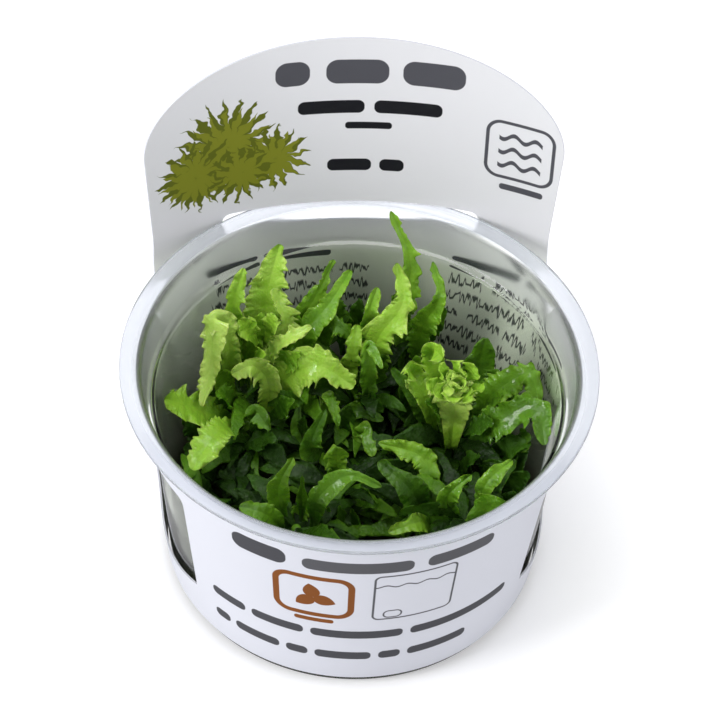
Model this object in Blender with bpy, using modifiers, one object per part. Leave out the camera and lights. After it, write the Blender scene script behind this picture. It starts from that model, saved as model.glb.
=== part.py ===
"""A tissue culture Pogostemon helferi in the clear round cup that it is sold in.

The cup has a wide flange at its rim. A folded card sleeve wraps the cup's tapered wall: a
front tab, a window at each side, and a tall arched panel behind, whose slot lets the flange
through. Clear nutrient jelly covers the cup's floor, and short stems stand on it, each with
its own rosette of wavy leaves.

Sizes and places are millimetres here and become metres where a mesh is made. +X is right,
+Y is away from the front, +Z is up. The origin is the middle of the cup's underside.
"""

import math

import bmesh
import bpy
import numpy as np
from mathutils.geometry import delaunay_2d_cdt

MM = 0.001
OBJECT_NAME = "tissue_culture_pogostemon_helferi"

# The cup
CUP_HEIGHT = 58.2
FLANGE_RADIUS = 50.5
FLANGE_THICKNESS = 1.1
RIM_INNER_RADIUS = 45.9
WALL = 0.8
LEDGE_HEIGHT = 48.4
LEDGE_RADIUS = 43.3
LEDGE_WIDTH = 1.4
FLOOR_THICKNESS = 1.0
FLOOR_RADIUS = 40.4
CUP_STEPS = 48

# The jelly
GAP = 0.3
GEL_TOP = 9.0

# The card sleeve
CARD = 0.4
CARD_BASE_RADIUS = 41.43
CARD_FLARE = 0.1039
CARD_BOTTOM = 1.6
CARD_TOP = 55.6
CARD_TURN = math.radians(5.0)
CARD_GIRTH_RADIUS = 47.5
PANEL_RADIUS = 95.0
PANEL_MIDDLE = 47.4
PANEL_LEAN = 0.104
PANEL_HALF_WIDTH = 46.9
PANEL_NECK = 45.2
PANEL_SHOULDER = 80.0
PANEL_TOP = 102.3
PANEL_POWER = 2.1
PANEL_LIFT_START = 18.0
PANEL_LIFT_END = 55.0
PANEL_SIDE_START = 45.5
PANEL_SIDE_END = 57.0
SLOT_HALF_LENGTH = 29.0
SLOT_BOTTOM = 53.8
SLOT_TOP = 58.6
CARD_STEP = 7.0
CARD_ROW = 9.0
CARD_GRID_MARGIN = 3.0
CARD_GRID_TOP = 92.0
SEAM = -120.0

# The plant
LEAF_THICKNESS = 0.42
LEAF_STATIONS = 10
STEM_FOOT = 9.4
STEM_RADIUS = 1.1
LEAF_SPACING = 0.95
LEAF_TOP_DROP = 0.4
LEAF_FOOT_OFFSET = 0.35
LEAF_FOOT_RISE = 2.0
LEAF_FOOT_REACH = 0.9
LEAF_FOOT_SPREAD = 0.1

# Each stem: the middle of its top, and how far its foot stands aside of that.
STEMS = {
    "left": ((-25, 20, 22), (3, -1)),
    "left_rear": ((-15, 25, 27), (-1, -3)),
    "far_left": ((-25, 12, 23), (2, -3)),
    "rear": ((10, 26, 24), (-2, -3)),
    "right": ((22, 12, 20), (-1, 1)),
    "middle": ((0, 21, 23), (1, -1)),
    "centre": ((-5, 9, 17), (1, 0)),
    "front_left": ((-12, -17, 22), (1, 2)),
    "front": ((-3, -4, 19), (0, 1)),
    "front_right": ((19, -11, 20), (-1, 2)),
    "far_right": ((25, -14, 23), (2, 3)),
}

# Each leaf: its stem, the places that its midline passes after its base, its width, the
# direction that its upper side faces (compass angle from +X, height angle), how far it twists
# from base to tip in degrees, and the height and number of the waves along its margins.
# A stem's leaves are listed from the innermost to the lowest.
LEAVES = {
    "tall_ruffled": ("left", [(-22, 26, 37.5), (-21, 30, 48), (-19, 35, 56)], 6.5, (-90, 20), 10, 0.9, 5),
    "front_frill": ("left", [(-19.5, 23.5, 34), (-17, 24, 42.5), (-20, 27, 50)],
                    5.5, (-60, 20), 20, 1.0, 5),
    "rear_upright": ("left", [(-27, 25, 32.5), (-28.5, 25, 46), (-26.5, 29, 54)],
                     5.5, (-70, 15), -15, 0.8, 4),
    "inner_arch": ("left", [(-28, 21, 33), (-27, 22.5, 41.5), (-23, 20, 46)], 4.5, (-30, 30), 0, 0.6, 4),
    "right_edge": ("left", [(-20, 19.5, 35.5), (-16, 18.5, 43.5), (-11, 21, 45)],
                   4.5, (-90, 75), 0, 0.8, 5),
    "drooping": ("left", [(-29.5, 18, 43), (-31.5, 17, 50.5), (-33, 8.5, 38.5), (-34, 4.5, 35.5)],
                 5.8, (-80, 40), 10, 1.1, 6),
    "left_curl": ("left", [(-21, 14.5, 35.5), (-24, 12.5, 40.5), (-28, 12, 38)],
                  6.0, (-90, 40), 0, 0.9, 4),
    "broad_right": ("left", [(-16, 16, 33), (-9, 14.5, 39.5), (-1, 13, 35)], 7.5, (-95, 50), 0, 0.9, 6),
    "shade_left": ("left", [(-29, 14, 27), (-33, 12, 33)], 6.0, (-90, 60), 0, 0.5, 3),
    "dark_upright": ("left_rear", [(-14, 27, 39), (-10, 31, 46), (-7, 36, 51)],
                     5.5, (-70, 20), 10, 0.8, 5),
    "rear_fork": ("left_rear", [(-12.5, 25, 38), (-7, 29, 45), (-3, 34, 50)], 5.0, (-110, 30), 0, 0.5, 4),
    "flat_right": ("left_rear", [(-9, 28, 33), (-6, 27, 39), (-1, 26, 36)], 5.0, (-90, 60), 0, 0.6, 4),
    "far_leaf": ("far_left", [(-34, 6, 32), (-41.5, 0, 42.5)], 8.0, (-90, 65), 0, 1.0, 5),
    "left_down": ("far_left", [(-31, -2, 33), (-35, -9, 30)], 7.0, (-90, 60), 10, 1.1, 4),
    "glitter": ("far_left", [(-22, 8, 30), (-19, 5, 28)], 4.5, (-80, 50), 20, 0.7, 3),
    "tallest": ("rear", [(9, 33, 38), (10, 38, 50), (5, 43, 60)], 5.0, (-80, 15), 25, 0.5, 4),
    "lime_centre": ("rear", [(3.5, 25, 36.5), (9, 30, 46), (7, 35, 52)], 6.0, (-95, 20), 0, 1.0, 5),
    "finger": ("rear", [(14, 30, 38), (17, 31, 46), (15, 36, 52)], 5.0, (-100, 20), 0, 0.7, 4),
    "left_horn": ("rear", [(2.5, 28, 33), (1.5, 29, 42), (3, 32, 47)], 5.0, (-60, 30), -10, 0.7, 4),
    "curl_rear": ("right", [(17, 15.5, 34.5), (16, 17, 44), (18, 12, 47)], 5.5, (-90, 35), 0, 0.7, 4),
    "frill_front": ("right", [(21.5, 10, 32), (21, 10, 41), (20.5, 6, 45)], 10.0, (-90, 25), 0, 1.2, 6),
    "curl_left": ("right", [(15, 12, 32), (11, 13, 41), (11, 9, 43)], 5.0, (-60, 40), 0, 0.8, 5),
    "dark_broad": ("right", [(26, 20.5, 32), (27.5, 23, 42)], 7.5, (-90, 25), 0, 0.6, 3),
    "arch_right_rear": ("right", [(31, 14, 35.5), (37, 13.5, 41), (40, 9, 37)],
                        6.5, (-95, 65), 0, 1.0, 5),
    "dark_strap": ("right", [(14, 15.5, 27.5), (7, 19, 35)], 5.0, (-90, 50), 0, 0.3, 3),
    "arch_right": ("right", [(31, 6.5, 33.5), (39, 5, 39), (41, -1, 35)], 6.5, (-95, 60), 0, 0.7, 4),
    "dark_right": ("right", [(30, 15, 28), (38, 13, 32)], 7.0, (-90, 65), 0, 0.5, 3),
    "lime_small": ("middle", [(-2, 22, 34), (-1, 26, 41)], 4.5, (-90, 30), 0, 0.8, 3),
    "hook_small": ("middle", [(2, 18, 34), (2, 20, 41), (5, 15, 39)], 4.0, (-80, 35), 0, 0.7, 4),
    "strap": ("centre", [(-10, 1, 28), (-7, 5, 36)], 4.8, (-90, 50), 15, 0.3, 2),
    "dark_tip": ("centre", [(-13, 9, 25), (-13, 14, 31)], 4.0, (-80, 50), 0, 0.3, 3),
    "arch_glossy": ("centre", [(-1, 15, 24), (6, 14, 23)], 4.5, (-80, 60), 0, 0.3, 3),
    "tip_down": ("centre", [(-6, 12, 31), (-4, 8, 27)], 4.5, (-60, 50), 0, 0.6, 4),
    "lime_piece": ("centre", [(2, 9, 24), (4, 4, 22)], 4.2, (-80, 50), 0, 0.6, 3),
    "upright": ("front_left", [(-16, -15, 32), (-13, -14, 42)], 4.4, (-80, 30), -20, 0.3, 3),
    "narrow": ("front_left", [(-11, -14, 30), (-11, -14, 36)], 2.8, (-90, 30), 0, 0.3, 3),
    "arch": ("front_left", [(-7, -16, 32), (-1, -14, 37), (6, -15, 35)], 4.4, (-100, 60), 0, 0.3, 3),
    "front_leaf": ("front_left", [(-19, -19, 29), (-24, -20, 32)], 5.0, (-90, 60), 0, 0.4, 3),
    "y_leaf": ("front", [(-4, -3, 26), (-4, -3, 33)], 4.8, (-90, 30), 0, 0.8, 3),
    "glossy_dark": ("front_right", [(12, -11, 30), (5, -9, 36)], 7.0, (-90, 55), 10, 0.3, 3),
    "lime_front": ("front_right", [(14, -18, 27), (8, -21, 27)], 4.5, (-90, 60), 0, 0.5, 3),
    "pale_lying": ("front_right", [(15, 0, 27), (5, 3, 28)], 5.0, (-90, 40), 0, 0.9, 5),
    "curl": ("far_right", [(20.5, -14, 32), (25, -12, 37)], 4.8, (-90, 40), 0, 0.6, 4),
    "spoon": ("far_right", [(29, -8, 30), (34, -5, 34)], 4.0, (-90, 60), 0, 0.4, 4),
    "right_low": ("far_right", [(29, -17, 31), (33, -18, 35)], 6.0, (-90, 60), 0, 0.7, 4),
}


def material(name, colour, roughness, alpha=1.0, transmission=0.0, ior=1.45):
    """A plain finish of one colour."""
    made = bpy.data.materials.new(name)
    made.use_nodes = True
    made.diffuse_color = (*colour, alpha)
    shader = made.node_tree.nodes["Principled BSDF"]
    shader.inputs["Base Color"].default_value = (*colour, 1.0)
    shader.inputs["Roughness"].default_value = roughness
    shader.inputs["Transmission Weight"].default_value = transmission
    shader.inputs["IOR"].default_value = ior
    return made


def part_object(name, mesh, finish, collection):
    """A named object of the part, shaded smooth except at its sharp edges."""
    mesh.materials.append(finish)
    made = bpy.data.objects.new(name, mesh)
    collection.objects.link(made)
    mesh.shade_smooth()
    mesh.set_sharp_from_angle(angle=math.radians(40))
    return made


def smooth_step(value, start, end):
    """Goes from 0 at start to 1 at end with no corner."""
    part = np.clip((value - start) / (end - start), 0.0, 1.0)
    return part * part * (3.0 - 2.0 * part)


def turned(name, profile, steps, finish, collection):
    """A body of revolution: its profile runs from the axis to the axis, top to bottom outside."""
    mesh = bpy.data.meshes.new(name)
    points = [(radius * MM, 0.0, height * MM) for radius, height in profile]
    mesh.from_pydata(points, [(i, i + 1) for i in range(len(points) - 1)], [])
    made = part_object(name, mesh, finish, collection)
    screw = made.modifiers.new("turn", "SCREW")
    screw.axis = "Z"
    screw.angle = 2 * math.pi
    screw.steps = steps
    screw.render_steps = steps
    screw.use_merge_vertices = True
    screw.merge_threshold = 0.00001
    screw.use_smooth_shade = True
    return made


def cup_profile():
    """The cup's section: floor, wall, stacking ledge, rolled shoulder, flange, and back outside."""
    under = CUP_HEIGHT - FLANGE_THICKNESS
    ledge_outer = LEDGE_RADIUS + LEDGE_WIDTH
    inner = [
        (0.0, FLOOR_THICKNESS),
        (FLOOR_RADIUS - 1.8, FLOOR_THICKNESS),
        (FLOOR_RADIUS - 0.5, FLOOR_THICKNESS + 0.6),
        (FLOOR_RADIUS, FLOOR_THICKNESS + 2.0),
        (LEDGE_RADIUS, LEDGE_HEIGHT),
        (ledge_outer, LEDGE_HEIGHT + 0.5),
        (RIM_INNER_RADIUS, CUP_HEIGHT - 2.6),
        (RIM_INNER_RADIUS + 0.7, CUP_HEIGHT - 0.7),
        (RIM_INNER_RADIUS + 1.9, CUP_HEIGHT),
    ]
    outer = [
        (FLANGE_RADIUS - 0.4, CUP_HEIGHT),
        (FLANGE_RADIUS, CUP_HEIGHT - 0.4),
        (FLANGE_RADIUS, under),
        (RIM_INNER_RADIUS + 1.5, under),
        (RIM_INNER_RADIUS + 0.8, CUP_HEIGHT - 2.6),
        (ledge_outer + WALL, LEDGE_HEIGHT - 0.4),
        (LEDGE_RADIUS + WALL, LEDGE_HEIGHT - 1.2),
        (FLOOR_RADIUS + WALL, FLOOR_THICKNESS + 2.0),
        (FLOOR_RADIUS + 0.2, 1.0),
        (FLOOR_RADIUS - 1.0, 0.0),
        (0.0, 0.0),
    ]
    return inner + outer


def make_cup(collection):
    """The clear cup, one moulded piece."""
    finish = material("clear_plastic", (0.86, 0.90, 0.88), 0.08, transmission=1.0, ior=1.49)
    turned("cup", cup_profile(), CUP_STEPS, finish, collection)


def make_gel(collection):
    """The jelly that the plant grows on: a low disc with a rounded edge."""
    radius = FLOOR_RADIUS - GAP
    foot = FLOOR_THICKNESS + GAP
    profile = [
        (0.0, GEL_TOP),
        (radius - 1.0, GEL_TOP),
        (radius, GEL_TOP + 0.3),
        (radius - 0.4, foot + 1.6),
        (radius - 2.2, foot),
        (0.0, foot),
    ]
    finish = material("nutrient_gel", (0.80, 0.84, 0.76), 0.12, transmission=0.9, ior=1.34)
    turned("nutrient_gel", profile, CUP_STEPS, finish, collection)


def card_points(around, height):
    """Where the card lies: around is the distance along the girth from the middle of the back.

    The card follows the wall's cone. Towards the top of the back it lifts off into a flatter
    curve, that of the panel, whose radius is about twice the cup's.
    """
    girth = 2 * math.pi * CARD_GIRTH_RADIUS
    around = (around + girth / 2) % girth - girth / 2
    angle = around / CARD_GIRTH_RADIUS
    radius = CARD_BASE_RADIUS + CARD_FLARE * height
    wall_x = radius * np.sin(angle)
    wall_y = radius * np.cos(angle)
    bend = np.clip(around, -PANEL_SIDE_END, PANEL_SIDE_END) / PANEL_RADIUS
    panel_x = PANEL_RADIUS * np.sin(bend)
    panel_y = PANEL_MIDDLE + PANEL_LEAN * (height - CUP_HEIGHT)
    panel_y = panel_y + PANEL_RADIUS * (np.cos(bend) - 1.0)
    lift = smooth_step(height, PANEL_LIFT_START, PANEL_LIFT_END)
    lift = lift * (1.0 - smooth_step(np.abs(around), PANEL_SIDE_START, PANEL_SIDE_END))
    lift = np.where((height > CARD_TOP) & (np.abs(around) < PANEL_SIDE_START + 2.0), 1.0, lift)
    x = wall_x + lift * (panel_x - wall_x)
    y = wall_y + lift * (panel_y - wall_y)
    turn_x = x * math.cos(CARD_TURN) - y * math.sin(CARD_TURN)
    turn_y = x * math.sin(CARD_TURN) + y * math.cos(CARD_TURN)
    return np.stack([turn_x, turn_y, height], axis=-1)


def line(start, end, step):
    """Points from start towards end, about a step apart, without the end itself."""
    start = np.array(start, float)
    end = np.array(end, float)
    count = max(1, round(float(np.linalg.norm(end - start)) / step))
    return [tuple(start + (end - start) * i / count) for i in range(count)]


def panel_arch(count):
    """The panel's top from its right shoulder over to its left one: a rounded oblong."""
    points = []
    for i in range(count + 1):
        turn = math.pi * i / count
        across = math.copysign(abs(math.cos(turn)) ** (2 / PANEL_POWER), math.cos(turn))
        up = math.sin(turn) ** (2 / PANEL_POWER)
        points.append((PANEL_HALF_WIDTH * across, PANEL_SHOULDER + (PANEL_TOP - PANEL_SHOULDER) * up))
    return points


def notch(side):
    """The relief notch between the panel's side and the wrap that hugs the wall."""
    corners = [(56.0, 53.6), (54.0, 48.5), (50.5, 45.5), (46.2, 46.5)]
    return [(side * around, height) for around, height in corners]


def card_outline():
    """The flat card's edge, counterclockwise from the foot of its glued seam."""
    end = SEAM + 2 * math.pi * CARD_GIRTH_RADIUS
    edge = line((SEAM, CARD_BOTTOM), (end, CARD_BOTTOM), CARD_STEP)
    edge += line((end, CARD_BOTTOM), (end, CARD_TOP), CARD_ROW)
    edge += line((end, CARD_TOP), (PANEL_SIDE_END, CARD_TOP), CARD_STEP)
    edge += notch(1)
    edge += line((PANEL_NECK, CARD_TOP), (PANEL_HALF_WIDTH, PANEL_SHOULDER), CARD_ROW)
    edge += panel_arch(20)[:-1]
    edge += line((-PANEL_HALF_WIDTH, PANEL_SHOULDER), (-PANEL_NECK, CARD_TOP), CARD_ROW)
    edge += notch(-1)[::-1]
    edge += line((-PANEL_SIDE_END, CARD_TOP), (SEAM, CARD_TOP), CARD_STEP)
    edge += line((SEAM, CARD_TOP), (SEAM, CARD_BOTTOM), CARD_ROW)
    return edge


def slot_outline():
    """The slot for the flange: a long hole with round ends."""
    middle = (SLOT_BOTTOM + SLOT_TOP) / 2
    round_end = (SLOT_TOP - SLOT_BOTTOM) / 2
    straight = SLOT_HALF_LENGTH - round_end
    edge = line((-straight, SLOT_BOTTOM), (straight, SLOT_BOTTOM), CARD_STEP)
    for i in range(4):
        turn = -math.pi / 2 + math.pi * i / 4
        edge.append((straight + round_end * math.cos(turn), middle + round_end * math.sin(turn)))
    edge += line((straight, SLOT_TOP), (-straight, SLOT_TOP), CARD_STEP)
    for i in range(4):
        turn = math.pi / 2 + math.pi * i / 4
        edge.append((-straight + round_end * math.cos(turn), middle + round_end * math.sin(turn)))
    return edge


def window_outline(side):
    """A side window: upright at the front tab, pointed at its foot and rounded behind."""
    corners = [(104.5, 15.0), (104.8, 30.0), (104.5, 43.5), (102.5, 46.2), (92.0, 46.6),
               (78.0, 46.0), (71.5, 41.0), (70.0, 30.0), (72.0, 18.0), (77.0, 11.0),
               (86.0, 9.2), (95.0, 11.5)]
    return [(side * around, height) for around, height in corners]


def card_triangles():
    """The flat card cut into triangles: its points (around, height) and the faces to keep."""
    loops = [card_outline(), slot_outline(), window_outline(1), window_outline(-1)]
    points = [point for loop in loops for point in loop]
    edges = []
    first = 0
    for loop in loops:
        edges += [(first + i, first + (i + 1) % len(loop)) for i in range(len(loop))]
        first += len(loop)
    end = SEAM + 2 * math.pi * CARD_GIRTH_RADIUS
    holes = [np.array(loop) for loop in loops[1:]]
    columns = np.arange(SEAM + CARD_STEP, end - CARD_STEP / 2, CARD_STEP)
    rows = np.arange(CARD_BOTTOM + CARD_ROW, CARD_GRID_TOP, CARD_ROW)
    for around in columns:
        for height in rows:
            in_band = height < CARD_TOP - CARD_GRID_MARGIN
            in_panel = abs(around) < PANEL_NECK - CARD_GRID_MARGIN
            if (in_band or in_panel) and not any(beside((around, height), hole) for hole in holes):
                points.append((around, height))
    flat, _, faces, _, _, _ = delaunay_2d_cdt(points, edges, [], 1, 1e-4)
    flat = np.array([tuple(point) for point in flat])
    kept = []
    for face in faces:
        middle = flat[list(face)].mean(axis=0)
        if not any(inside(middle, hole) for hole in holes):
            kept.append(face)
    return flat, kept


def beside(point, loop):
    """Whether a point is within the box round an outline, or nearer to it than the margin."""
    low = loop.min(axis=0) - CARD_GRID_MARGIN
    high = loop.max(axis=0) + CARD_GRID_MARGIN
    return bool(((point > low) & (point < high)).all())


def inside(point, loop):
    """Whether a point is within a closed outline, by how often a level ray crosses it."""
    after = np.roll(loop, -1, axis=0)
    straddles = (loop[:, 1] > point[1]) != (after[:, 1] > point[1])
    rise = np.where(straddles, after[:, 1] - loop[:, 1], 1.0)
    crossing = loop[:, 0] + (point[1] - loop[:, 1]) / rise * (after[:, 0] - loop[:, 0])
    return bool((straddles & (point[0] < crossing)).sum() % 2)


def make_sleeve(collection):
    """The printed card: cut flat, then bent round the cup and glued to itself at its seam."""
    flat, faces = card_triangles()
    places = card_points(flat[:, 0], flat[:, 1]) * MM
    shell = bmesh.new()
    corners = [shell.verts.new(place) for place in places]
    for face in faces:
        shell.faces.new([corners[i] for i in face])
    bmesh.ops.remove_doubles(shell, verts=shell.verts, dist=0.00002)
    bmesh.ops.recalc_face_normals(shell, faces=shell.faces)
    mesh = bpy.data.meshes.new("label_sleeve")
    shell.to_mesh(mesh)
    shell.free()
    made = part_object("label_sleeve", mesh, material("white_card", (0.88, 0.88, 0.90), 0.5), collection)
    thick = made.modifiers.new("card", "SOLIDIFY")
    thick.thickness = CARD * MM
    thick.offset = 0.0


def stem_path(top, aside):
    """Points up a stem, from its foot on the jelly to its top, in a gentle bow."""
    top = np.array(top, float)
    foot = np.array([top[0] + aside[0], top[1] + aside[1], STEM_FOOT])
    middle = (top + foot) / 2 + np.array([aside[1], -aside[0], 0.0]) * 0.15
    share = np.linspace(0.0, 1.0, 4)[:, None]
    return foot * (1 - share) ** 2 + 2 * middle * share * (1 - share) + top * share**2


def make_stem(name, top, aside, finish, collection):
    """A short upright stem, a tube with filled ends."""
    path = stem_path(top, aside)
    curve = bpy.data.curves.new(name, "CURVE")
    curve.dimensions = "3D"
    curve.bevel_depth = STEM_RADIUS * MM
    curve.bevel_resolution = 1
    curve.use_fill_caps = True
    spline = curve.splines.new("POLY")
    spline.points.add(len(path) - 1)
    for point, place in zip(spline.points, path):
        point.co = (*(place * MM), 1.0)
    curve.materials.append(finish)
    made = bpy.data.objects.new(name, curve)
    collection.objects.link(made)


def leaf_foot(stem, first, level):
    """Where a leaf starts and turns up: just off its stem, on its own side, lower for each level."""
    top, aside = STEMS[stem]
    path = stem_path(top, aside)
    height = top[2] - LEAF_TOP_DROP - LEAF_SPACING * level
    axis = np.array([np.interp(height, path[:, 2], path[:, i]) for i in range(3)])
    aim = np.array(first[:2], float) - axis[:2]
    length = float(np.linalg.norm(aim))
    aim = np.array([*(aim / length if length > 0.5 else (0.0, -1.0)), 0.0])
    start = axis + aim * (STEM_RADIUS + GAP + LEAF_FOOT_OFFSET)
    reach = LEAF_FOOT_REACH + LEAF_FOOT_SPREAD * level
    return [start, start + aim * reach + np.array([0.0, 0.0, LEAF_FOOT_RISE])]


def curve_through(waypoints, share):
    """Points at each share of the way along a smooth curve that passes all the waypoints.

    Between two waypoints it is a cubic, whose slope at each of them is that of the straight
    line between its neighbours.
    """
    places = np.array(waypoints, float)
    steps = np.linalg.norm(np.diff(places, axis=0), axis=1)
    knots = np.concatenate([[0.0], np.cumsum(steps)]) / steps.sum()
    slopes = np.gradient(places, knots, axis=0)
    before = np.clip(np.searchsorted(knots, share, side="right") - 1, 0, len(knots) - 2)
    span = (knots[before + 1] - knots[before])[:, None]
    t = (share - knots[before])[:, None] / span
    start = places[before] * (2 * t**3 - 3 * t**2 + 1) + slopes[before] * span * (t**3 - 2 * t**2 + t)
    end = places[before + 1] * (3 * t**2 - 2 * t**3) + slopes[before + 1] * span * (t**3 - t**2)
    return start + end


def turn_about(vectors, axes, angles):
    """Each vector turned about its unit axis by its angle."""
    cosine = np.cos(angles)[:, None]
    sine = np.sin(angles)[:, None]
    along = (vectors * axes).sum(axis=1)[:, None] * axes
    return vectors * cosine + np.cross(axes, vectors) * sine + along * (1 - cosine)


def leaf_frame(path, faces, twist):
    """Unit vectors across the blade and out of its upper side at each point of the midline."""
    compass, climb = np.radians(faces)
    facing = np.array([
        math.cos(compass) * math.cos(climb), math.sin(compass) * math.cos(climb), math.sin(climb)
    ])
    along = np.gradient(path, axis=0)
    along /= np.linalg.norm(along, axis=1)[:, None]
    across = np.cross(along, facing)
    across /= np.linalg.norm(across, axis=1)[:, None]
    angles = np.radians(twist) * np.linspace(0.0, 1.0, len(path))
    across = turn_about(across, along, angles)
    return across, np.cross(across, along)


def leaf_width(share):
    """The blade's half width as a share of its greatest: a narrow foot, then a blunt tip."""
    foot = 0.18 + 0.82 * smooth_step(share, 0.12, 0.64)
    tip = np.sqrt(np.clip(1.0 - ((share - 0.62) / 0.385) ** 2, 0.03, 1.0))
    return np.where(share > 0.62, tip, foot)


def make_leaf(name, leaf, level, finish, collection):
    """One blade: a grid bent along its midline, with wavy margins, given a thickness."""
    stem, waypoints, width, faces, twist, wave, waves = leaf
    share = np.linspace(0.0, 1.0, LEAF_STATIONS)
    path = curve_through([*leaf_foot(stem, waypoints[0], level), *waypoints], share)
    across, out = leaf_frame(path, faces, twist)
    half = width / 2 * leaf_width(share)
    lift = wave * smooth_step(share, 0.15, 0.5) * np.sin(2 * math.pi * waves * share)
    left = path + across * half[:, None] + out * (0.15 * half + lift)[:, None]
    right = path - across * half[:, None] + out * (0.15 * half - lift)[:, None]
    rows = np.stack([left, path, right], axis=1).reshape(-1, 3) * MM
    blade = bmesh.new()
    bmesh.ops.create_grid(blade, x_segments=2, y_segments=LEAF_STATIONS - 1, size=1.0)
    for vert, place in zip(blade.verts, rows):
        vert.co = place
    bmesh.ops.recalc_face_normals(blade, faces=blade.faces)
    mesh = bpy.data.meshes.new(name)
    blade.to_mesh(mesh)
    blade.free()
    made = part_object(name, mesh, finish, collection)
    thick = made.modifiers.new("blade", "SOLIDIFY")
    thick.thickness = LEAF_THICKNESS * MM
    thick.offset = 0.0


def make_plant(collection):
    """The stems, and each stem's leaves from the innermost down."""
    stem_finish = material("stem_green", (0.10, 0.20, 0.03), 0.5)
    leaf_finish = material("leaf_green", (0.16, 0.36, 0.03), 0.35)
    for name, (top, aside) in STEMS.items():
        make_stem("stem_" + name, top, aside, stem_finish, collection)
    levels = dict.fromkeys(STEMS, 0)
    for name, leaf in LEAVES.items():
        levels[leaf[0]] += 1
        make_leaf("leaf_" + name, leaf, levels[leaf[0]], leaf_finish, collection)


def main():
    """Clears the scene and builds the part."""
    for old in list(bpy.data.objects):
        bpy.data.objects.remove(old, do_unlink=True)
    collection = bpy.data.collections.new(OBJECT_NAME)
    bpy.context.scene.collection.children.link(collection)
    make_cup(collection)
    make_sleeve(collection)
    make_gel(collection)
    make_plant(collection)


main()
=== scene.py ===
"""The looks of a cup of young Pogostemon helferi: clear cup, card sleeve, jelly, stems and wavy leaves.

Lengths in the classes below are millimetres, in the row's frame: +X right, +Y to the back panel,
+Z up, the origin in the middle of the cup's underside. They become metres in the meshes.
"""

import logging
import math
from dataclasses import dataclass, field
from enum import Enum

import bpy
import numpy as np
from mathutils import Matrix, Vector
from mathutils.geometry import delaunay_2d_cdt


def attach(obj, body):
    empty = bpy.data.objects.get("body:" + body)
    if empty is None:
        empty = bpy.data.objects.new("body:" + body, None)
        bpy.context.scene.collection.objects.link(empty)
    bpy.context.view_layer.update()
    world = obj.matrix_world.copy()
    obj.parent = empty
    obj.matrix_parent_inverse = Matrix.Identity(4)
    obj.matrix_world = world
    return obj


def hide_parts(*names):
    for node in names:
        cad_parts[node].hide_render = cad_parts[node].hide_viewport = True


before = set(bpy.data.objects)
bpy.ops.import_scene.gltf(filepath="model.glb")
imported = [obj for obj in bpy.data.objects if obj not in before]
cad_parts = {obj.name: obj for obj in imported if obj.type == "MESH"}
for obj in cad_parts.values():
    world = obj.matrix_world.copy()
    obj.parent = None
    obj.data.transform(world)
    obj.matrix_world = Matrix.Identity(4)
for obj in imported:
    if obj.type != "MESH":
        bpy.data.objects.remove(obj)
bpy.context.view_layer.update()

LOG = logging.getLogger("helferi_cup")
MM = 0.001
Socket = bpy.types.NodeSocket
Array = np.ndarray
Colour = tuple[float, float, float]
Place = tuple[float, float, float]
Spans = tuple[tuple[float, float], ...]

UP = np.array([0.0, 0.0, 1.0])
GOLDEN_ANGLE = np.radians(137.5)


class Slot(Enum):
    """The record's material slots."""

    PLASTIC = "clear_plastic"
    CARD = "white_card"
    GEL = "nutrient_gel"
    LEAF = "leaf"
    STEM = "stem"


def smooth_step(value: Array, start: float, end: float) -> Array:
    """Goes from 0 at start to 1 at end with no corner: 3 t squared minus 2 t cubed.

    Args:
        value: Any array.
        start: Where the step begins.
        end: Where it ends.

    Returns:
        An array of the same shape, from 0 to 1.
    """
    part = np.clip((value - start) / (end - start), 0.0, 1.0)
    return part * part * (3.0 - 2.0 * part)


def unit(vectors: Array) -> Array:
    """Each vector of the last axis divided by its length."""
    return vectors / np.maximum(np.linalg.norm(vectors, axis=-1, keepdims=True), 1e-9)


def turned_about(vectors: Array, axes: Array, angles: Array) -> Array:
    """Turns each vector about its unit axis: v cos + (axis x v) sin + axis (axis.v)(1 - cos).

    Args:
        vectors: The vectors, on the last axis.
        axes: A unit axis for each.
        angles: An angle in radians for each.

    Returns:
        The turned vectors.
    """
    cosine = np.cos(angles)[..., None]
    sine = np.sin(angles)[..., None]
    along = (vectors * axes).sum(axis=-1, keepdims=True) * axes
    return vectors * cosine + np.cross(axes, vectors) * sine + along * (1.0 - cosine)


def level_aims(compass: Array) -> Array:
    """Level unit vectors (cos a, sin a, 0) at some compass angles."""
    return np.stack([np.cos(compass), np.sin(compass), np.zeros(len(compass))], axis=-1)


def curve_through(places: Array, share: Array) -> Array:
    """Points of a smooth curve that passes all the places, at each share of the way along it.

    Between two places it is a cubic, whose slope at each of them is that of the straight line
    between its neighbours.

    Args:
        places: The places, one a row.
        share: Shares from 0 to 1.

    Returns:
        One point a share.
    """
    steps = np.linalg.norm(np.diff(places, axis=0), axis=1)
    knots = np.concatenate([[0.0], np.cumsum(steps)]) / steps.sum()
    slopes = np.gradient(places, knots, axis=0)
    before = np.clip(np.searchsorted(knots, share, side="right") - 1, 0, len(knots) - 2)
    span = (knots[before + 1] - knots[before])[:, None]
    t = (share - knots[before])[:, None] / span
    start = places[before] * (2 * t**3 - 3 * t**2 + 1) + slopes[before] * span * (t**3 - 2 * t**2 + t)
    end = places[before + 1] * (3 * t**2 - 2 * t**3) + slopes[before + 1] * span * (t**3 - t**2)
    return start + end


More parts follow.
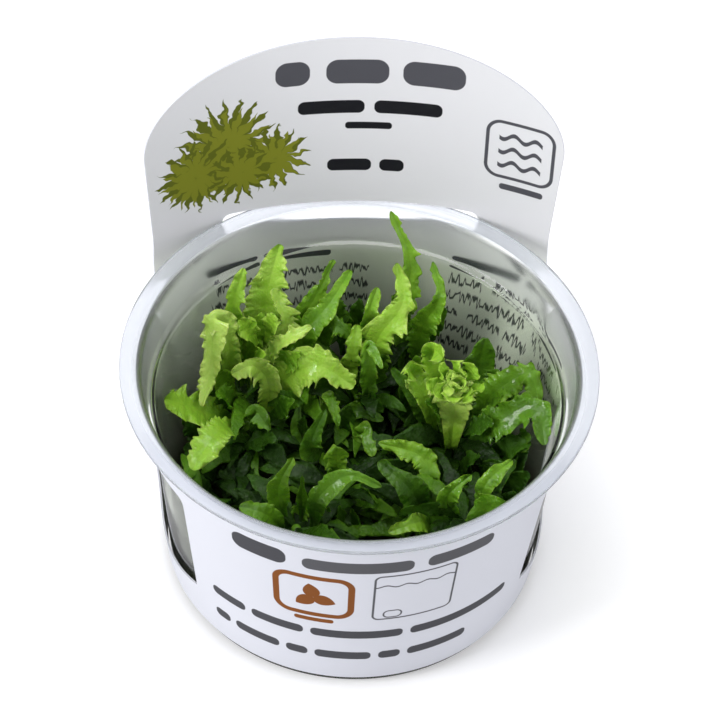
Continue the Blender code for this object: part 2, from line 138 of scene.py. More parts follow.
def rounded(corners: Array, closed: bool, steps: int = 6) -> Array:
    """A polyline with each corner replaced by a quadratic arc of that corner's radius.

    The arc starts and ends the radius away from the corner, or half way to its neighbour if
    that is nearer, and bends towards the corner.

    Args:
        corners: Rows of (x, y, radius).
        closed: Whether the last corner joins the first.
        steps: Points on each arc.

    Returns:
        Rows of (x, y).
    """
    corners = np.asarray(corners, float)
    here = corners[:, :2]
    before = np.roll(here, 1, axis=0)
    after = np.roll(here, -1, axis=0)
    reach_in = np.minimum(corners[:, 2], 0.49 * np.linalg.norm(before - here, axis=1))[:, None]
    reach_out = np.minimum(corners[:, 2], 0.49 * np.linalg.norm(after - here, axis=1))[:, None]
    start = here + unit(before - here) * reach_in
    end = here + unit(after - here) * reach_out
    t = np.linspace(0.0, 1.0, steps)[None, :, None]
    arcs = start[:, None] * (1 - t) ** 2 + 2 * here[:, None] * t * (1 - t) + end[:, None] * t**2
    if not closed:
        arcs[0] = here[0]
        arcs[-1] = here[-1]
    points = arcs.reshape(-1, 2)
    apart = np.linalg.norm(np.diff(points, axis=0), axis=1) > 1e-4
    return points[np.concatenate([[True], apart])]


@dataclass
class Shell:
    """A closed surface put together from grids, with values at its points."""

    points: list[Array] = field(default_factory=list)
    quads: list[Array] = field(default_factory=list)
    triangles: list[Array] = field(default_factory=list)
    values: dict[str, list[Array]] = field(default_factory=dict)
    count: int = 0

    def add_loops(self, loops: Array, **values: Array) -> None:
        """Adds tubes: each closed loop of points joins the next, and a fan closes either end.

        Args:
            loops: Points by tube, loop and place in the loop, or by loop and place for one tube.
            values: For each named value, its amount at each of those points.
        """
        loops = loops if loops.ndim == 4 else loops[None]
        tubes, rows, around, _ = loops.shape
        grid = np.arange(tubes * rows * around).reshape(tubes, rows, around) + self.count
        beside = np.roll(grid, -1, axis=2)
        sides = np.stack([grid[:, :-1], beside[:, :-1], beside[:, 1:], grid[:, 1:]], axis=-1)
        middles = grid[-1, -1, -1] + 1 + np.arange(2 * tubes).reshape(tubes, 2)
        start = np.broadcast_to(middles[:, :1], (tubes, around))
        finish = np.broadcast_to(middles[:, 1:], (tubes, around))
        fans = [np.stack([beside[:, 0], grid[:, 0], start], axis=-1)]
        fans.append(np.stack([grid[:, -1], beside[:, -1], finish], axis=-1))
        self.quads.append(sides.reshape(-1, 4))
        self.triangles += [fan.reshape(-1, 3) for fan in fans]
        ends = np.stack([loops[:, 0].mean(axis=1), loops[:, -1].mean(axis=1)], axis=1)
        self.points.append(np.concatenate([loops.reshape(-1, 3), ends.reshape(-1, 3)]))
        for name, amount in values.items():
            full = np.broadcast_to(amount, loops.shape[:3])
            at_ends = np.stack([full[:, 0].mean(axis=1), full[:, -1].mean(axis=1)], axis=1)
            self.values.setdefault(name, []).append(np.concatenate([full.ravel(), at_ends.ravel()]))
        self.count += tubes * rows * around + 2 * tubes

    def piece(self, name: str, finish: bpy.types.Material, slot: Slot, *nodes: str) -> None:
        """Makes the object, turned right side out, and puts it on the frame.

        Args:
            name: The piece's name.
            finish: Its material.
            slot: The record's slot for it.
            nodes: The frame's nodes that it stands for.
        """
        points = np.concatenate(self.points)
        quads = np.concatenate(self.quads)
        triangles = np.concatenate(self.triangles)
        halves = np.concatenate([quads[:, [0, 1, 2]], quads[:, [0, 2, 3]], triangles])
        corner = points[halves]
        volume = (corner[:, 0] * np.cross(corner[:, 1], corner[:, 2])).sum()
        if volume < 0:
            quads = quads[:, ::-1]
            triangles = triangles[:, ::-1]
        mesh = mesh_of(name, points * MM, [quads, triangles])
        for label, amounts in self.values.items():
            layer = mesh.attributes.new(label, "FLOAT", "POINT")
            layer.data.foreach_set("value", np.concatenate(amounts).astype(np.float32))
        placed(name, mesh, [finish], slot, *nodes)


def mesh_of(name: str, points: Array, groups: list[Array]) -> bpy.types.Mesh:
    """A smooth mesh from points in metres and groups of faces with like numbers of corners."""
    mesh = bpy.data.meshes.new(name)
    corners = np.concatenate([group.ravel() for group in groups]).astype(np.int32)
    totals = np.concatenate([np.full(len(group), group.shape[1]) for group in groups]).astype(np.int32)
    starts = (np.cumsum(totals) - totals).astype(np.int32)
    mesh.vertices.add(len(points))
    mesh.vertices.foreach_set("co", points.astype(np.float32).ravel())
    mesh.loops.add(len(corners))
    mesh.loops.foreach_set("vertex_index", corners)
    mesh.polygons.add(len(totals))
    mesh.polygons.foreach_set("loop_start", starts)
    mesh.polygons.foreach_set("loop_total", totals)
    mesh.polygons.foreach_set("use_smooth", np.ones(len(totals), bool))
    mesh.update(calc_edges=True)
    mesh.validate()
    return mesh


def placed(
    name: str, mesh: bpy.types.Mesh, finishes: list[bpy.types.Material], slot: Slot, *nodes: str
) -> None:
    """Links a mesh as a piece of the object, on the frame's root body.

    Args:
        name: The piece's name.
        mesh: Its mesh, in place.
        finishes: Its materials, by material index.
        slot: The record's slot for it; not used.
        nodes: The frame's nodes that it stands for.
    """
    piece = bpy.data.objects.new(name, mesh)
    for finish in finishes:
        mesh.materials.append(finish)
    bpy.context.scene.collection.objects.link(piece)
    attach(piece, "root")
    if nodes:
        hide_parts(*nodes)
    LOG.info("%s: %d faces", name, len(mesh.polygons))


class Finish:
    """A material under construction, with short ways to add its nodes."""

    def __init__(self, name: str) -> None:
        """Starts from one Principled shader.

        Args:
            name: The material's name.
        """
        self.material = bpy.data.materials.new(name)
        self.material.use_nodes = True
        self.nodes = self.material.node_tree.nodes
        self.links = self.material.node_tree.links
        self.shader = self.nodes["Principled BSDF"]

    def set(self, **amounts: float | tuple[float, ...]) -> None:
        """Sets constants on the shader's own sockets, named with _ for each space."""
        for name, amount in amounts.items():
            label = name.replace("_", " ").title().replace("Ior", "IOR")
            self.shader.inputs[label].default_value = amount

    def feed(self, label: str, source: Socket) -> None:
        """Links a socket to one of the shader's."""
        self.links.new(source, self.shader.inputs[label])

    def add(self, kind: str, inputs: dict[int | str, object], **settings: object) -> bpy.types.Node:
        """Adds a node.

        Args:
            kind: Its type.
            inputs: For each input, a socket to link or a value to set.
            settings: The node's own properties.

        Returns:
            The node.
        """
        node = self.nodes.new(kind)
        for name, amount in settings.items():
            setattr(node, name, amount)
        for label, amount in inputs.items():
            if isinstance(amount, bpy.types.NodeSocket):
                self.links.new(amount, node.inputs[label])
            else:
                node.inputs[label].default_value = amount
        return node

    def math(self, operation: str, first: object, second: object = 0.0) -> Socket:
        """The result of one Math node."""
        return self.add("ShaderNodeMath", {0: first, 1: second}, operation=operation).outputs[0]

    def vector(self, operation: str, first: object, second: object = (0.0, 0.0, 0.0)) -> bpy.types.Node:
        """One Vector Math node."""
        return self.add("ShaderNodeVectorMath", {0: first, 1: second}, operation=operation)

    def place(self) -> Socket:
        """Object coordinates, in metres."""
        return self.add("ShaderNodeTexCoord", {}).outputs["Object"]

    def parts(self, vector: Socket) -> tuple[Socket, Socket, Socket]:
        """A vector's x, y and z."""
        return tuple(self.add("ShaderNodeSeparateXYZ", {0: vector}).outputs)

    def value(self, name: str) -> Socket:
        """A named value of the piece's points."""
        return self.add("ShaderNodeAttribute", {}, attribute_name=name).outputs["Fac"]

    def noise(self, scale: float, detail: float = 3.0, where: Socket | None = None) -> Socket:
        """Noise from 0 to 1, with scale features to a metre."""
        inputs = {"Vector": where or self.place(), "Scale": scale, "Detail": detail}
        return self.add("ShaderNodeTexNoise", inputs).outputs["Fac"]

    def between(self, amount: object, low: float, high: float, out_low: float, out_high: float) -> Socket:
        """A value carried from one range to another, and held within it."""
        inputs = {0: amount, 1: low, 2: high, 3: out_low, 4: out_high}
        return self.add("ShaderNodeMapRange", inputs).outputs[0]

    def cloud(self, scale: float, low: float = 0.0, high: float = 1.0, detail: float = 3.0) -> Socket:
        """Noise whose middle, from 0.3 to 0.7, is spread over the range from low to high."""
        return self.between(self.noise(scale, detail), 0.3, 0.7, low, high)

    def mix(self, amount: object, first: object, second: object) -> Socket:
        """Two colours mixed."""
        node = self.add("ShaderNodeMix", {0: amount}, data_type="RGBA")
        for index, colour in ((6, first), (7, second)):
            if isinstance(colour, bpy.types.NodeSocket):
                self.links.new(colour, node.inputs[index])
            else:
                node.inputs[index].default_value = (*colour, 1.0)
        return node.outputs[2]

    def ramp(self, amount: Socket, stops: tuple[tuple[float, Colour], ...]) -> Socket:
        """A colour read from stops of (place, colour)."""
        node = self.add("ShaderNodeValToRGB", {0: amount})
        band = node.color_ramp.elements
        while len(band) < len(stops):
            band.new(0.5)
        for element, (position, colour) in zip(band, stops):
            element.position = position
            element.color = (*colour, 1.0)
        return node.outputs[0]

    def bump(self, height: Socket, depth: float, strength: float = 1.0) -> None:
        """Feeds the shader a bump whose height of 1 is depth metres."""
        inputs = {"Height": height, "Distance": depth, "Strength": strength}
        self.feed("Normal", self.add("ShaderNodeBump", inputs).outputs[0])


@dataclass(frozen=True)
class ClearPlastic:
    """Thin clear moulding: milky at the flange, misted down the wall, stained where the jelly is, near
    black at the foot as a painted contact shadow.
    """

    name: str = "clear_cup_plastic"
    clear: Colour = (0.97, 0.98, 0.98)
    misted: Colour = (0.90, 0.945, 0.84)
    milky: Colour = (0.80, 0.83, 0.89)
    stained: Colour = (0.50, 0.53, 0.43)
    stain_top: float = 0.009
    # The foot colour is a painted contact shadow: the lowest couple of millimetres of plastic are near
    # black for the shade where the cup stands.
    foot: Colour = (0.06, 0.07, 0.045)
    painted_shadow_top: float = 0.0022
    refraction: float = 1.45
    mist_top: float = 0.047
    frost: float = 0.22
    frost_foot: float = 0.048
    milk_foot: float = 0.0565
    milk_clear: float = 0.72

    def make(self) -> bpy.types.Material:
        """The material."""
        finish = Finish(self.name)
        finish.set(ior=self.refraction)
        height = finish.parts(finish.place())[2]
        mist = finish.between(height, self.mist_top, self.mist_top + 0.002, 1.0, 0.0)
        top = finish.between(height, self.milk_foot, self.milk_foot + 0.001, 0.0, 1.0)
        stain = finish.between(height, self.stain_top, self.stain_top + 0.008, 1.0, 0.0)
        tint = finish.mix(stain, finish.mix(mist, self.clear, self.misted), self.stained)
        # Painted contact shadow: below its top the tint turns to the near black foot colour.
        foot = finish.between(height, self.painted_shadow_top, self.painted_shadow_top + 0.0006, 1.0, 0.0)
        tint = finish.mix(foot, tint, self.foot)
        finish.feed("Base Color", finish.mix(top, tint, self.milky))
        beads = finish.between(finish.noise(260.0), 0.35, 0.75, 0.0, 0.06)
        frost = finish.between(height, self.frost_foot, self.frost_foot + 0.003, 0.0, self.frost)
        wet = finish.math("MULTIPLY", mist, beads)
        finish.feed("Roughness", finish.math("ADD", wet, frost))
        finish.feed("Transmission Weight", finish.between(top, 0.0, 1.0, 1.0, self.milk_clear))
        finish.bump(finish.noise(45.0, 1.0), 0.0004, 0.35)
        return finish.material


@dataclass(frozen=True)
class ClearJelly:
    """Set nutrient jelly: dark and brownish under the plant as painted shade from it, clearer and greyer
    close to the wall.
    """

    name: str = "clear_jelly"
    rim: Colour = (0.34, 0.36, 0.28)
    cloudy: Colour = (0.24, 0.25, 0.18)
    # Painted shade: the near black colour that the jelly is given under the plant, for the shadow that the
    # plant casts on it.
    middle: Colour = (0.035, 0.045, 0.015)
    painted_shade_fade_from: float = 0.033
    painted_shade_fade_to: float = 0.040
    refraction: float = 1.34
    shine: float = 0.35

    def make(self) -> bpy.types.Material:
        """The material."""
        finish = Finish(self.name)
        finish.set(transmission_weight=1.0, ior=self.refraction, specular_ior_level=self.shine)
        place = finish.place()
        flat = finish.vector("MULTIPLY", place, (1.0, 1.0, 0.0)).outputs[0]
        out = finish.vector("LENGTH", flat).outputs["Value"]
        out = finish.math("ADD", out, finish.cloud(60.0, -0.003, 0.003))
        cloud = finish.cloud(90.0)
        rim = finish.mix(cloud, self.rim, self.cloudy)
        # Painted shade: the jelly is near black under the plant and turns to its own grey towards the wall.
        clear = finish.between(out, self.painted_shade_fade_from, self.painted_shade_fade_to, 0.0, 1.0)
        finish.feed("Base Color", finish.mix(clear, self.middle, rim))
        finish.feed("Roughness", finish.cloud(140.0, 0.05, 0.22))
        finish.bump(finish.noise(70.0, 2.0), 0.0006, 0.5)
        return finish.material


@dataclass(frozen=True)
class LivingLeaf:
    """Leaf tissue, coloured by its tone from near black green to pale lime, with a wet sheen. The tone is
    partly the leaf's own colour and partly painted shade, darker deep in the clump.
    """

    name: str
    stops: tuple[tuple[float, Colour], ...]
    subsurface: float = 0.25
    gloss: float = 0.36
    wet: float = 0.30
    shine: float = 0.38

    def make(self) -> bpy.types.Material:
        """The material."""
        finish = Finish(self.name)
        finish.set(
            subsurface_weight=self.subsurface, subsurface_radius=(0.5, 1.0, 0.15),
            subsurface_scale=0.0008, coat_weight=self.wet, coat_roughness=0.08, ior=1.36,
            specular_ior_level=self.shine,
        )
        tone = finish.value("tone")
        edge = finish.math("POWER", finish.value("edge"), 3.0)
        mottle = finish.between(finish.noise(330.0), 0.25, 0.75, -0.07, 0.07)
        grain = finish.cloud(2400.0, -0.03, 0.03, 2.0)
        tone = finish.math("ADD", tone, finish.math("MULTIPLY", edge, 0.10))
        tone = finish.math("ADD", tone, finish.math("ADD", mottle, grain))
        finish.feed("Base Color", finish.ramp(tone, self.stops))
        finish.feed("Roughness", finish.cloud(500.0, self.gloss - 0.08, self.gloss + 0.14))
        crinkle = finish.math("MULTIPLY", finish.noise(620.0, 2.5), finish.value("edge"))
        pores = finish.math("MULTIPLY", finish.noise(1500.0, 2.0), 0.12)
        finish.bump(finish.math("ADD", crinkle, pores), 0.0016, 0.7)
        return finish.material


LEAF_STOPS = (
    (0.0, (0.010, 0.030, 0.003)),
    (0.25, (0.036, 0.105, 0.006)),
    (0.5, (0.115, 0.275, 0.012)),
    (0.75, (0.270, 0.500, 0.035)),
    (1.0, (0.480, 0.680, 0.130)),
)


@dataclass(frozen=True)
class Root:
    """Pale tan roots."""

    name: str = "tan_root"
    colour: Colour = (0.30, 0.22, 0.11)
    dark: Colour = (0.16, 0.12, 0.05)

    def make(self) -> bpy.types.Material:
        """The material."""
        finish = Finish(self.name)
        finish.set(subsurface_weight=0.2, subsurface_scale=0.0006)
        cloud = finish.cloud(220.0)
        finish.feed("Base Color", finish.mix(cloud, self.colour, self.dark))
        finish.feed("Roughness", finish.cloud(400.0, 0.35, 0.6))
        finish.bump(finish.noise(1800.0), 0.0001, 0.5)
        return finish.material


@dataclass
class Cup:
    """The clear cup: a turned body whose section is a closed line from axis to axis."""

    height: float = 58.2
    flange_radius: float = 50.5
    flange_thickness: float = 1.1
    rim_inner: float = 45.9
    wall: float = 0.8
    ledge_height: float = 48.4
    ledge_radius: float = 43.3
    ledge_width: float = 1.4
    floor: float = 1.0
    floor_radius: float = 40.4
    around: int = 192

    def section(self) -> Array:
        """The section's (radius, height) points, each corner rounded by its own radius."""
        under = self.height - self.flange_thickness
        ledge = self.ledge_radius + self.ledge_width
        corners = [
            (0.4, self.floor, 0.0),
            (self.floor_radius - 1.2, self.floor, 1.5),
            (self.floor_radius, self.floor + 2.0, 2.0),
            (self.ledge_radius, self.ledge_height, 0.5),
            (ledge, self.ledge_height + 0.5, 0.5),
            (self.rim_inner, self.height - 2.2, 1.2),
            (self.rim_inner + 1.6, self.height, 1.4),
            (self.flange_radius, self.height, 0.35),
            (self.flange_radius, under, 0.35),
            (self.rim_inner + 1.3, under, 0.6),
            (ledge + self.wall, self.ledge_height - 0.4, 0.7),
            (self.ledge_radius + self.wall, self.ledge_height - 1.2, 0.5),
            (self.floor_radius + self.wall, self.floor + 2.0, 1.5),
            (self.floor_radius + self.wall - 0.3, 0.0, 0.5),
            (0.4, 0.0, 0.0),
        ]
        return rounded(np.array(corners), closed=False, steps=7)

    def build(self, finish: bpy.types.Material) -> None:
        """Each point of the section goes round the axis: (r cos t, r sin t, z)."""
        section = self.section()
        turn = np.linspace(0.0, 2 * math.pi, self.around, endpoint=False)
        ring = np.stack([np.cos(turn), np.sin(turn)], axis=-1)
        flat = section[:, 0][:, None, None] * ring
        level = np.broadcast_to(section[:, 1][:, None, None], (*flat.shape[:2], 1))
        shell = Shell()
        shell.add_loops(np.concatenate([flat, level], axis=-1))
        shell.piece("clear_cup", finish, Slot.PLASTIC, "cup")

    def inner_radius(self, height: Array) -> Array:
        """The inside of the wall at a height, a straight taper from floor to ledge."""
        return np.interp(
            height,
            [self.floor + 2.0, self.ledge_height, self.ledge_height + 0.5, self.height],
            [self.floor_radius, self.ledge_radius, self.ledge_radius + self.ledge_width, self.rim_inner],
        )

    def hold_in(self, points: Array, margin: float) -> None:
        """Draws points in towards the axis until they are a margin clear of the wall."""
        out = np.hypot(points[..., 0], points[..., 1])
        limit = self.inner_radius(points[..., 2]) - margin
        points[..., :2] *= np.minimum(1.0, limit / np.maximum(out, 1e-6))[..., None]


@dataclass
class Jelly:
    """The disc of jelly, a little higher at the wall and gently uneven on top."""

    radius: float = 40.1
    foot: float = 1.3
    top: float = 9.0
    rings: int = 24
    around: int = 128

    def build(self, finish: bpy.types.Material) -> None:
        """A turned section, whose top has waves: a sine across times a sine along."""
        corners = [
            (0.4, self.top, 0.0),
            (self.radius - 1.5, self.top, 1.5),
            (self.radius, self.top + 0.4, 0.2),
            (self.radius - 0.4, self.foot + 1.6, 1.0),
            (self.radius - 2.2, self.foot, 1.0),
            (0.4, self.foot, 0.0),
        ]
        section = rounded(np.array(corners), closed=False, steps=5)
        inner = np.linspace(0.4, self.radius - 3.2, self.rings)
        section = np.concatenate([np.stack([inner, np.full(self.rings, self.top)], axis=-1), section[1:]])
        turn = np.linspace(0.0, 2 * math.pi, self.around, endpoint=False)
        x = section[:, :1] * np.cos(turn)
        y = section[:, :1] * np.sin(turn)
        level = np.broadcast_to(section[:, 1:], x.shape)
        fade = (level > self.top - 0.5) * smooth_step(self.radius - np.hypot(x, y), 1.0, 6.0)
        wave = 0.18 * np.sin(x * 0.31 + 1.0) * np.sin(y * 0.27 + 0.4)
        shell = Shell()
        shell.add_loops(np.stack([x, y, level - np.abs(wave) * fade], axis=-1))
        shell.piece("clear_jelly", finish, Slot.GEL, "nutrient_gel")


@dataclass
class Sleeve:
    """The card: a flat outline with a slot and two windows, bent round the cup."""

    card: float = 0.4
    base_radius: float = 41.43
    flare: float = 0.1039
    bottom: float = 2.4
    top: float = 55.6
    turn: float = math.radians(5.0)
    girth_radius: float = 47.5
    panel_radius: float = 95.0
    panel_middle: float = 47.4
    panel_lean: float = 0.104
    lean_from: float = 58.2
    lift_start: float = 18.0
    lift_end: float = 55.0
    half_width: float = 46.9
    neck: float = 45.2
    shoulder: float = 80.0
    panel_top: float = 102.3
    power: float = 2.1
    side_start: float = 45.5
    side_end: float = 57.0
    notch_bottom: float = 45.5
    slot_half: float = 29.0
    slot_bottom: float = 53.8
    slot_top: float = 58.6
    seam: float = -120.0
    spacing: float = 1.7
    sheet: float = 300.0

    def girth(self) -> float:
        """The flat card's length round the cup."""
        return 2 * math.pi * self.girth_radius

    def bent(self, around: Array, height: Array) -> Array:
        """Where the flat card's points lie once it is bent.

        Low down the card follows the wall's cone, (R sin a, R cos a). Towards the top of the
        back it lifts off by a smooth share into a flatter arc, that of the leaning panel.

        Args:
            around: Distance along the girth from the middle of the back.
            height: Height.

        Returns:
            The points.
        """
        girth = self.girth()
        around = (around + girth / 2) % girth - girth / 2
        angle = around / self.girth_radius
        radius = self.base_radius + self.flare * height
        bend = np.clip(around, -self.side_end, self.side_end) / self.panel_radius
        panel_x = self.panel_radius * np.sin(bend)
        panel_y = self.panel_middle + self.panel_lean * (height - self.lean_from)
        panel_y = panel_y + self.panel_radius * (np.cos(bend) - 1.0)
        lift = smooth_step(height, self.lift_start, self.lift_end)
        lift = lift * (1.0 - smooth_step(np.abs(around), self.side_start, self.side_end))
        lift = np.where((height > self.top) & (np.abs(around) < self.side_start + 2.0), 1.0, lift)
        x = radius * np.sin(angle) * (1.0 - lift) + panel_x * lift
        y = radius * np.cos(angle) * (1.0 - lift) + panel_y * lift
        cosine, sine = math.cos(self.turn), math.sin(self.turn)
        return np.stack([x * cosine - y * sine, x * sine + y * cosine, height + 0.0 * x], axis=-1)

    def outline(self) -> Array:
        """The flat card's edge, counterclockwise from the foot of its seam."""
        end = self.seam + self.girth()
        half, notch = self.half_width, self.side_end
        turn = np.linspace(0.0, math.pi, 61)
        across = np.sign(np.cos(turn)) * np.abs(np.cos(turn)) ** (2 / self.power)
        up = np.sin(turn) ** (2 / self.power)
        arch = np.stack([half * across, self.shoulder + (self.panel_top - self.shoulder) * up], axis=-1)
        side = [
            (notch, self.top, 1.5),
            (notch - 3.0, self.notch_bottom + 3.0, 3.0),
            (notch - 6.5, self.notch_bottom, 2.5),
            (self.neck + 0.8, self.notch_bottom + 1.0, 1.2),
            (self.neck, self.top, 3.0),
            (half, self.shoulder, 0.0),
        ]
        mirrored = [(-a, h, r) for a, h, r in side]
        right = rounded(np.array([(end, self.top, 0.0), *side]), closed=False)
        left = rounded(np.array([(self.seam, self.top, 0.0), *mirrored]), closed=False)[::-1]
        edge = np.concatenate([[(self.seam, self.bottom), (end, self.bottom)], right[:-1], arch[:-1], left])
        return self.filled(edge)

    def filled(self, edge: Array) -> Array:
        """The closed edge with extra points, so that none are further apart than the spacing."""
        run = np.roll(edge, -1, axis=0) - edge
        parts = np.maximum(1, np.ceil(np.linalg.norm(run, axis=1) / self.spacing)).astype(int)
        number = np.arange(parts.sum()) - np.repeat(np.cumsum(parts) - parts, parts)
        which = np.repeat(np.arange(len(edge)), parts)
        return edge[which] + run[which] * number[:, None] / parts[which][:, None]

    def holes(self) -> list[Array]:
        """The slot and the two windows."""
        reach = (self.slot_top - self.slot_bottom) / 2
        slot = np.array([
            (-self.slot_half, self.slot_bottom, reach),
            (self.slot_half, self.slot_bottom, reach),
            (self.slot_half, self.slot_top, reach),
            (-self.slot_half, self.slot_top, reach),
        ])
        window = np.array([
            (104.5, 14.6, 0.6), (104.5, 46.4, 2.4), (90.0, 46.7, 4.0), (72.5, 46.4, 8.0),
            (70.0, 28.0, 9.0), (72.5, 12.5, 7.0), (85.0, 8.6, 5.0), (95.0, 11.2, 4.0),
        ])
        mirrored = window * (-1.0, 1.0, 1.0)
        return [self.filled(rounded(hole, closed=True)) for hole in (slot, window, mirrored)]

    def cut(self) -> tuple[Array, Array]:
        """The flat card in triangles: its points, and the faces outside its holes."""
        loops = [self.outline(), *self.holes()]
        starts = np.cumsum([0] + [len(loop) for loop in loops])
        edges = [
            (int(start + i), int(start + (i + 1) % len(loop)))
            for start, loop in zip(starts, loops) for i in range(len(loop))
        ]
        end = self.seam + self.girth()
        around, height = np.meshgrid(
            np.arange(self.seam + self.spacing, end, self.spacing),
            np.arange(self.bottom + self.spacing, self.panel_top, self.spacing),
        )
        grid = np.stack([around.ravel(), height.ravel()], axis=-1)
        clear = self.within(grid, loops[0])
        for hole in loops[1:]:
            clear &= ~self.within(grid, hole)
        rim = np.concatenate(loops)
        grid = grid[clear]
        apart = np.hypot(*(rim[None] - grid[:, None]).transpose(2, 0, 1)).min(axis=1)
        points = np.concatenate([rim, grid[apart > 0.55 * self.spacing]])
        flat, _, faces, _, _, _ = delaunay_2d_cdt([Vector(p) for p in points], edges, [], 1, 1e-4)
        flat = np.array([tuple(p) for p in flat])
        faces = np.array(faces)
        middles = flat[faces].mean(axis=1)
        for hole in loops[1:]:
            faces = faces[~self.within(middles, hole)]
            middles = flat[faces].mean(axis=1)
        return flat, faces

    @staticmethod
    def within(points: Array, loop: Array) -> Array:
        """Whether each point is inside a closed outline, by how often a level ray crosses it."""
        after = np.roll(loop, -1, axis=0)
        straddles = (loop[:, 1] > points[:, 1:]) != (after[:, 1] > points[:, 1:])
        rise = np.where(loop[:, 1] == after[:, 1], 1.0, after[:, 1] - loop[:, 1])
        crossing = loop[:, 0] + (points[:, 1:] - loop[:, 1]) / rise * (after[:, 0] - loop[:, 0])
        return (straddles & (points[:, :1] < crossing)).sum(axis=1) % 2 == 1

    def build(self, inside: bpy.types.Material, outside: bpy.types.Material) -> None:
        """Bends both sides of the card, half its thickness either way along its normal.

        The normal is the cross product of the slopes along the girth and up the height. The
        points on one side of the seam are used for the other side too, which closes the ring.

        Args:
            inside: Finish of the side towards the cup and of the panel's front.
            outside: Finish of the side away from it.
        """
        flat, faces = self.cut()
        around, height = flat[:, 0], flat[:, 1]
        step = 0.02
        sideways = self.bent(around + step, height) - self.bent(around - step, height)
        upward = self.bent(around, height + step) - self.bent(around, height - step)
        normal = unit(np.cross(upward, sideways))
        middle = self.bent(around, height)
        outer = middle + normal * self.card / 2
        inner = middle - normal * self.card / 2
        end = self.seam + self.girth()
        left = np.flatnonzero(np.abs(around - self.seam) < 1e-3)
        right = np.flatnonzero(np.abs(around - end) < 1e-3)
        left = left[np.argsort(height[left])]
        right = right[np.argsort(height[right])]
        same = np.arange(len(flat))
        same[right] = left
        welded = same[faces]
        count = len(flat)
        ends = np.concatenate([welded[:, [0, 1]], welded[:, [1, 2]], welded[:, [2, 0]]])
        raw = np.concatenate([faces[:, [0, 1]], faces[:, [1, 2]], faces[:, [2, 0]]])
        _, index, uses = np.unique(np.sort(ends, axis=1), axis=0, return_inverse=True, return_counts=True)
        rim = uses[index.ravel()] == 1
        a, b = ends[rim].T
        walls = np.stack([a, b, b + count, a + count], axis=-1)
        raw_a, raw_b = raw[rim].T
        groups = [walls, welded[:, ::-1], welded + count]
        mesh = mesh_of("card_sleeve", np.concatenate([outer, inner]) * MM, groups)
        edge_chart = np.stack([raw_a, raw_b, raw_b, raw_a], axis=-1)
        corners = np.concatenate([edge_chart.ravel(), faces[:, ::-1].ravel(), faces.ravel()])
        chart = (flat - (self.seam, 0.0)) / self.sheet
        layer = mesh.uv_layers.new(name="card")
        layer.data.foreach_set("uv", chart[corners].astype(np.float32).ravel())
        side = np.repeat([1, 1, 0], [len(walls), len(faces), len(faces)])
        mesh.polygons.foreach_set("material_index", side.astype(np.int32))
        smooth = np.repeat([False, True, True], [len(walls), len(faces), len(faces)])
        mesh.polygons.foreach_set("use_smooth", smooth)
        mesh.set_sharp_from_angle(angle=math.radians(40.0))
        placed("card_sleeve", mesh, [inside, outside], Slot.CARD, "label_sleeve")


@dataclass(frozen=True)
class Blade:
    """One leaf: the stem that it grows on, the places that its midline passes, and its form."""

    stem: str
    places: tuple[Place, ...]
    width: float
    faces: tuple[float, float]
    twist: float
    wave: float
    waves: float
    tone: float
    peak: float = 0.6
    tip: float = 0.15


# Each stem: the middle of its top, and how far its foot stands aside of that.
STEMS = {
    "left": ((-25, 20, 22), (3, -1)),
    "left_rear": ((-15, 25, 27), (-1, -3)),
    "far_left": ((-25, 12, 23), (2, -3)),
    "rear": ((10, 26, 24), (-2, -3)),
    "right": ((22, 12, 20), (-1, 1)),
    "middle": ((0, 21, 23), (1, -1)),
    "centre": ((-5, 9, 17), (1, 0)),
    "front_left": ((-12, -17, 22), (1, 2)),
    "front": ((-3, -4, 19), (0, 1)),
    "front_right": ((19, -11, 20), (-1, 2)),
    "far_right": ((25, -14, 23), (2, 3)),
}
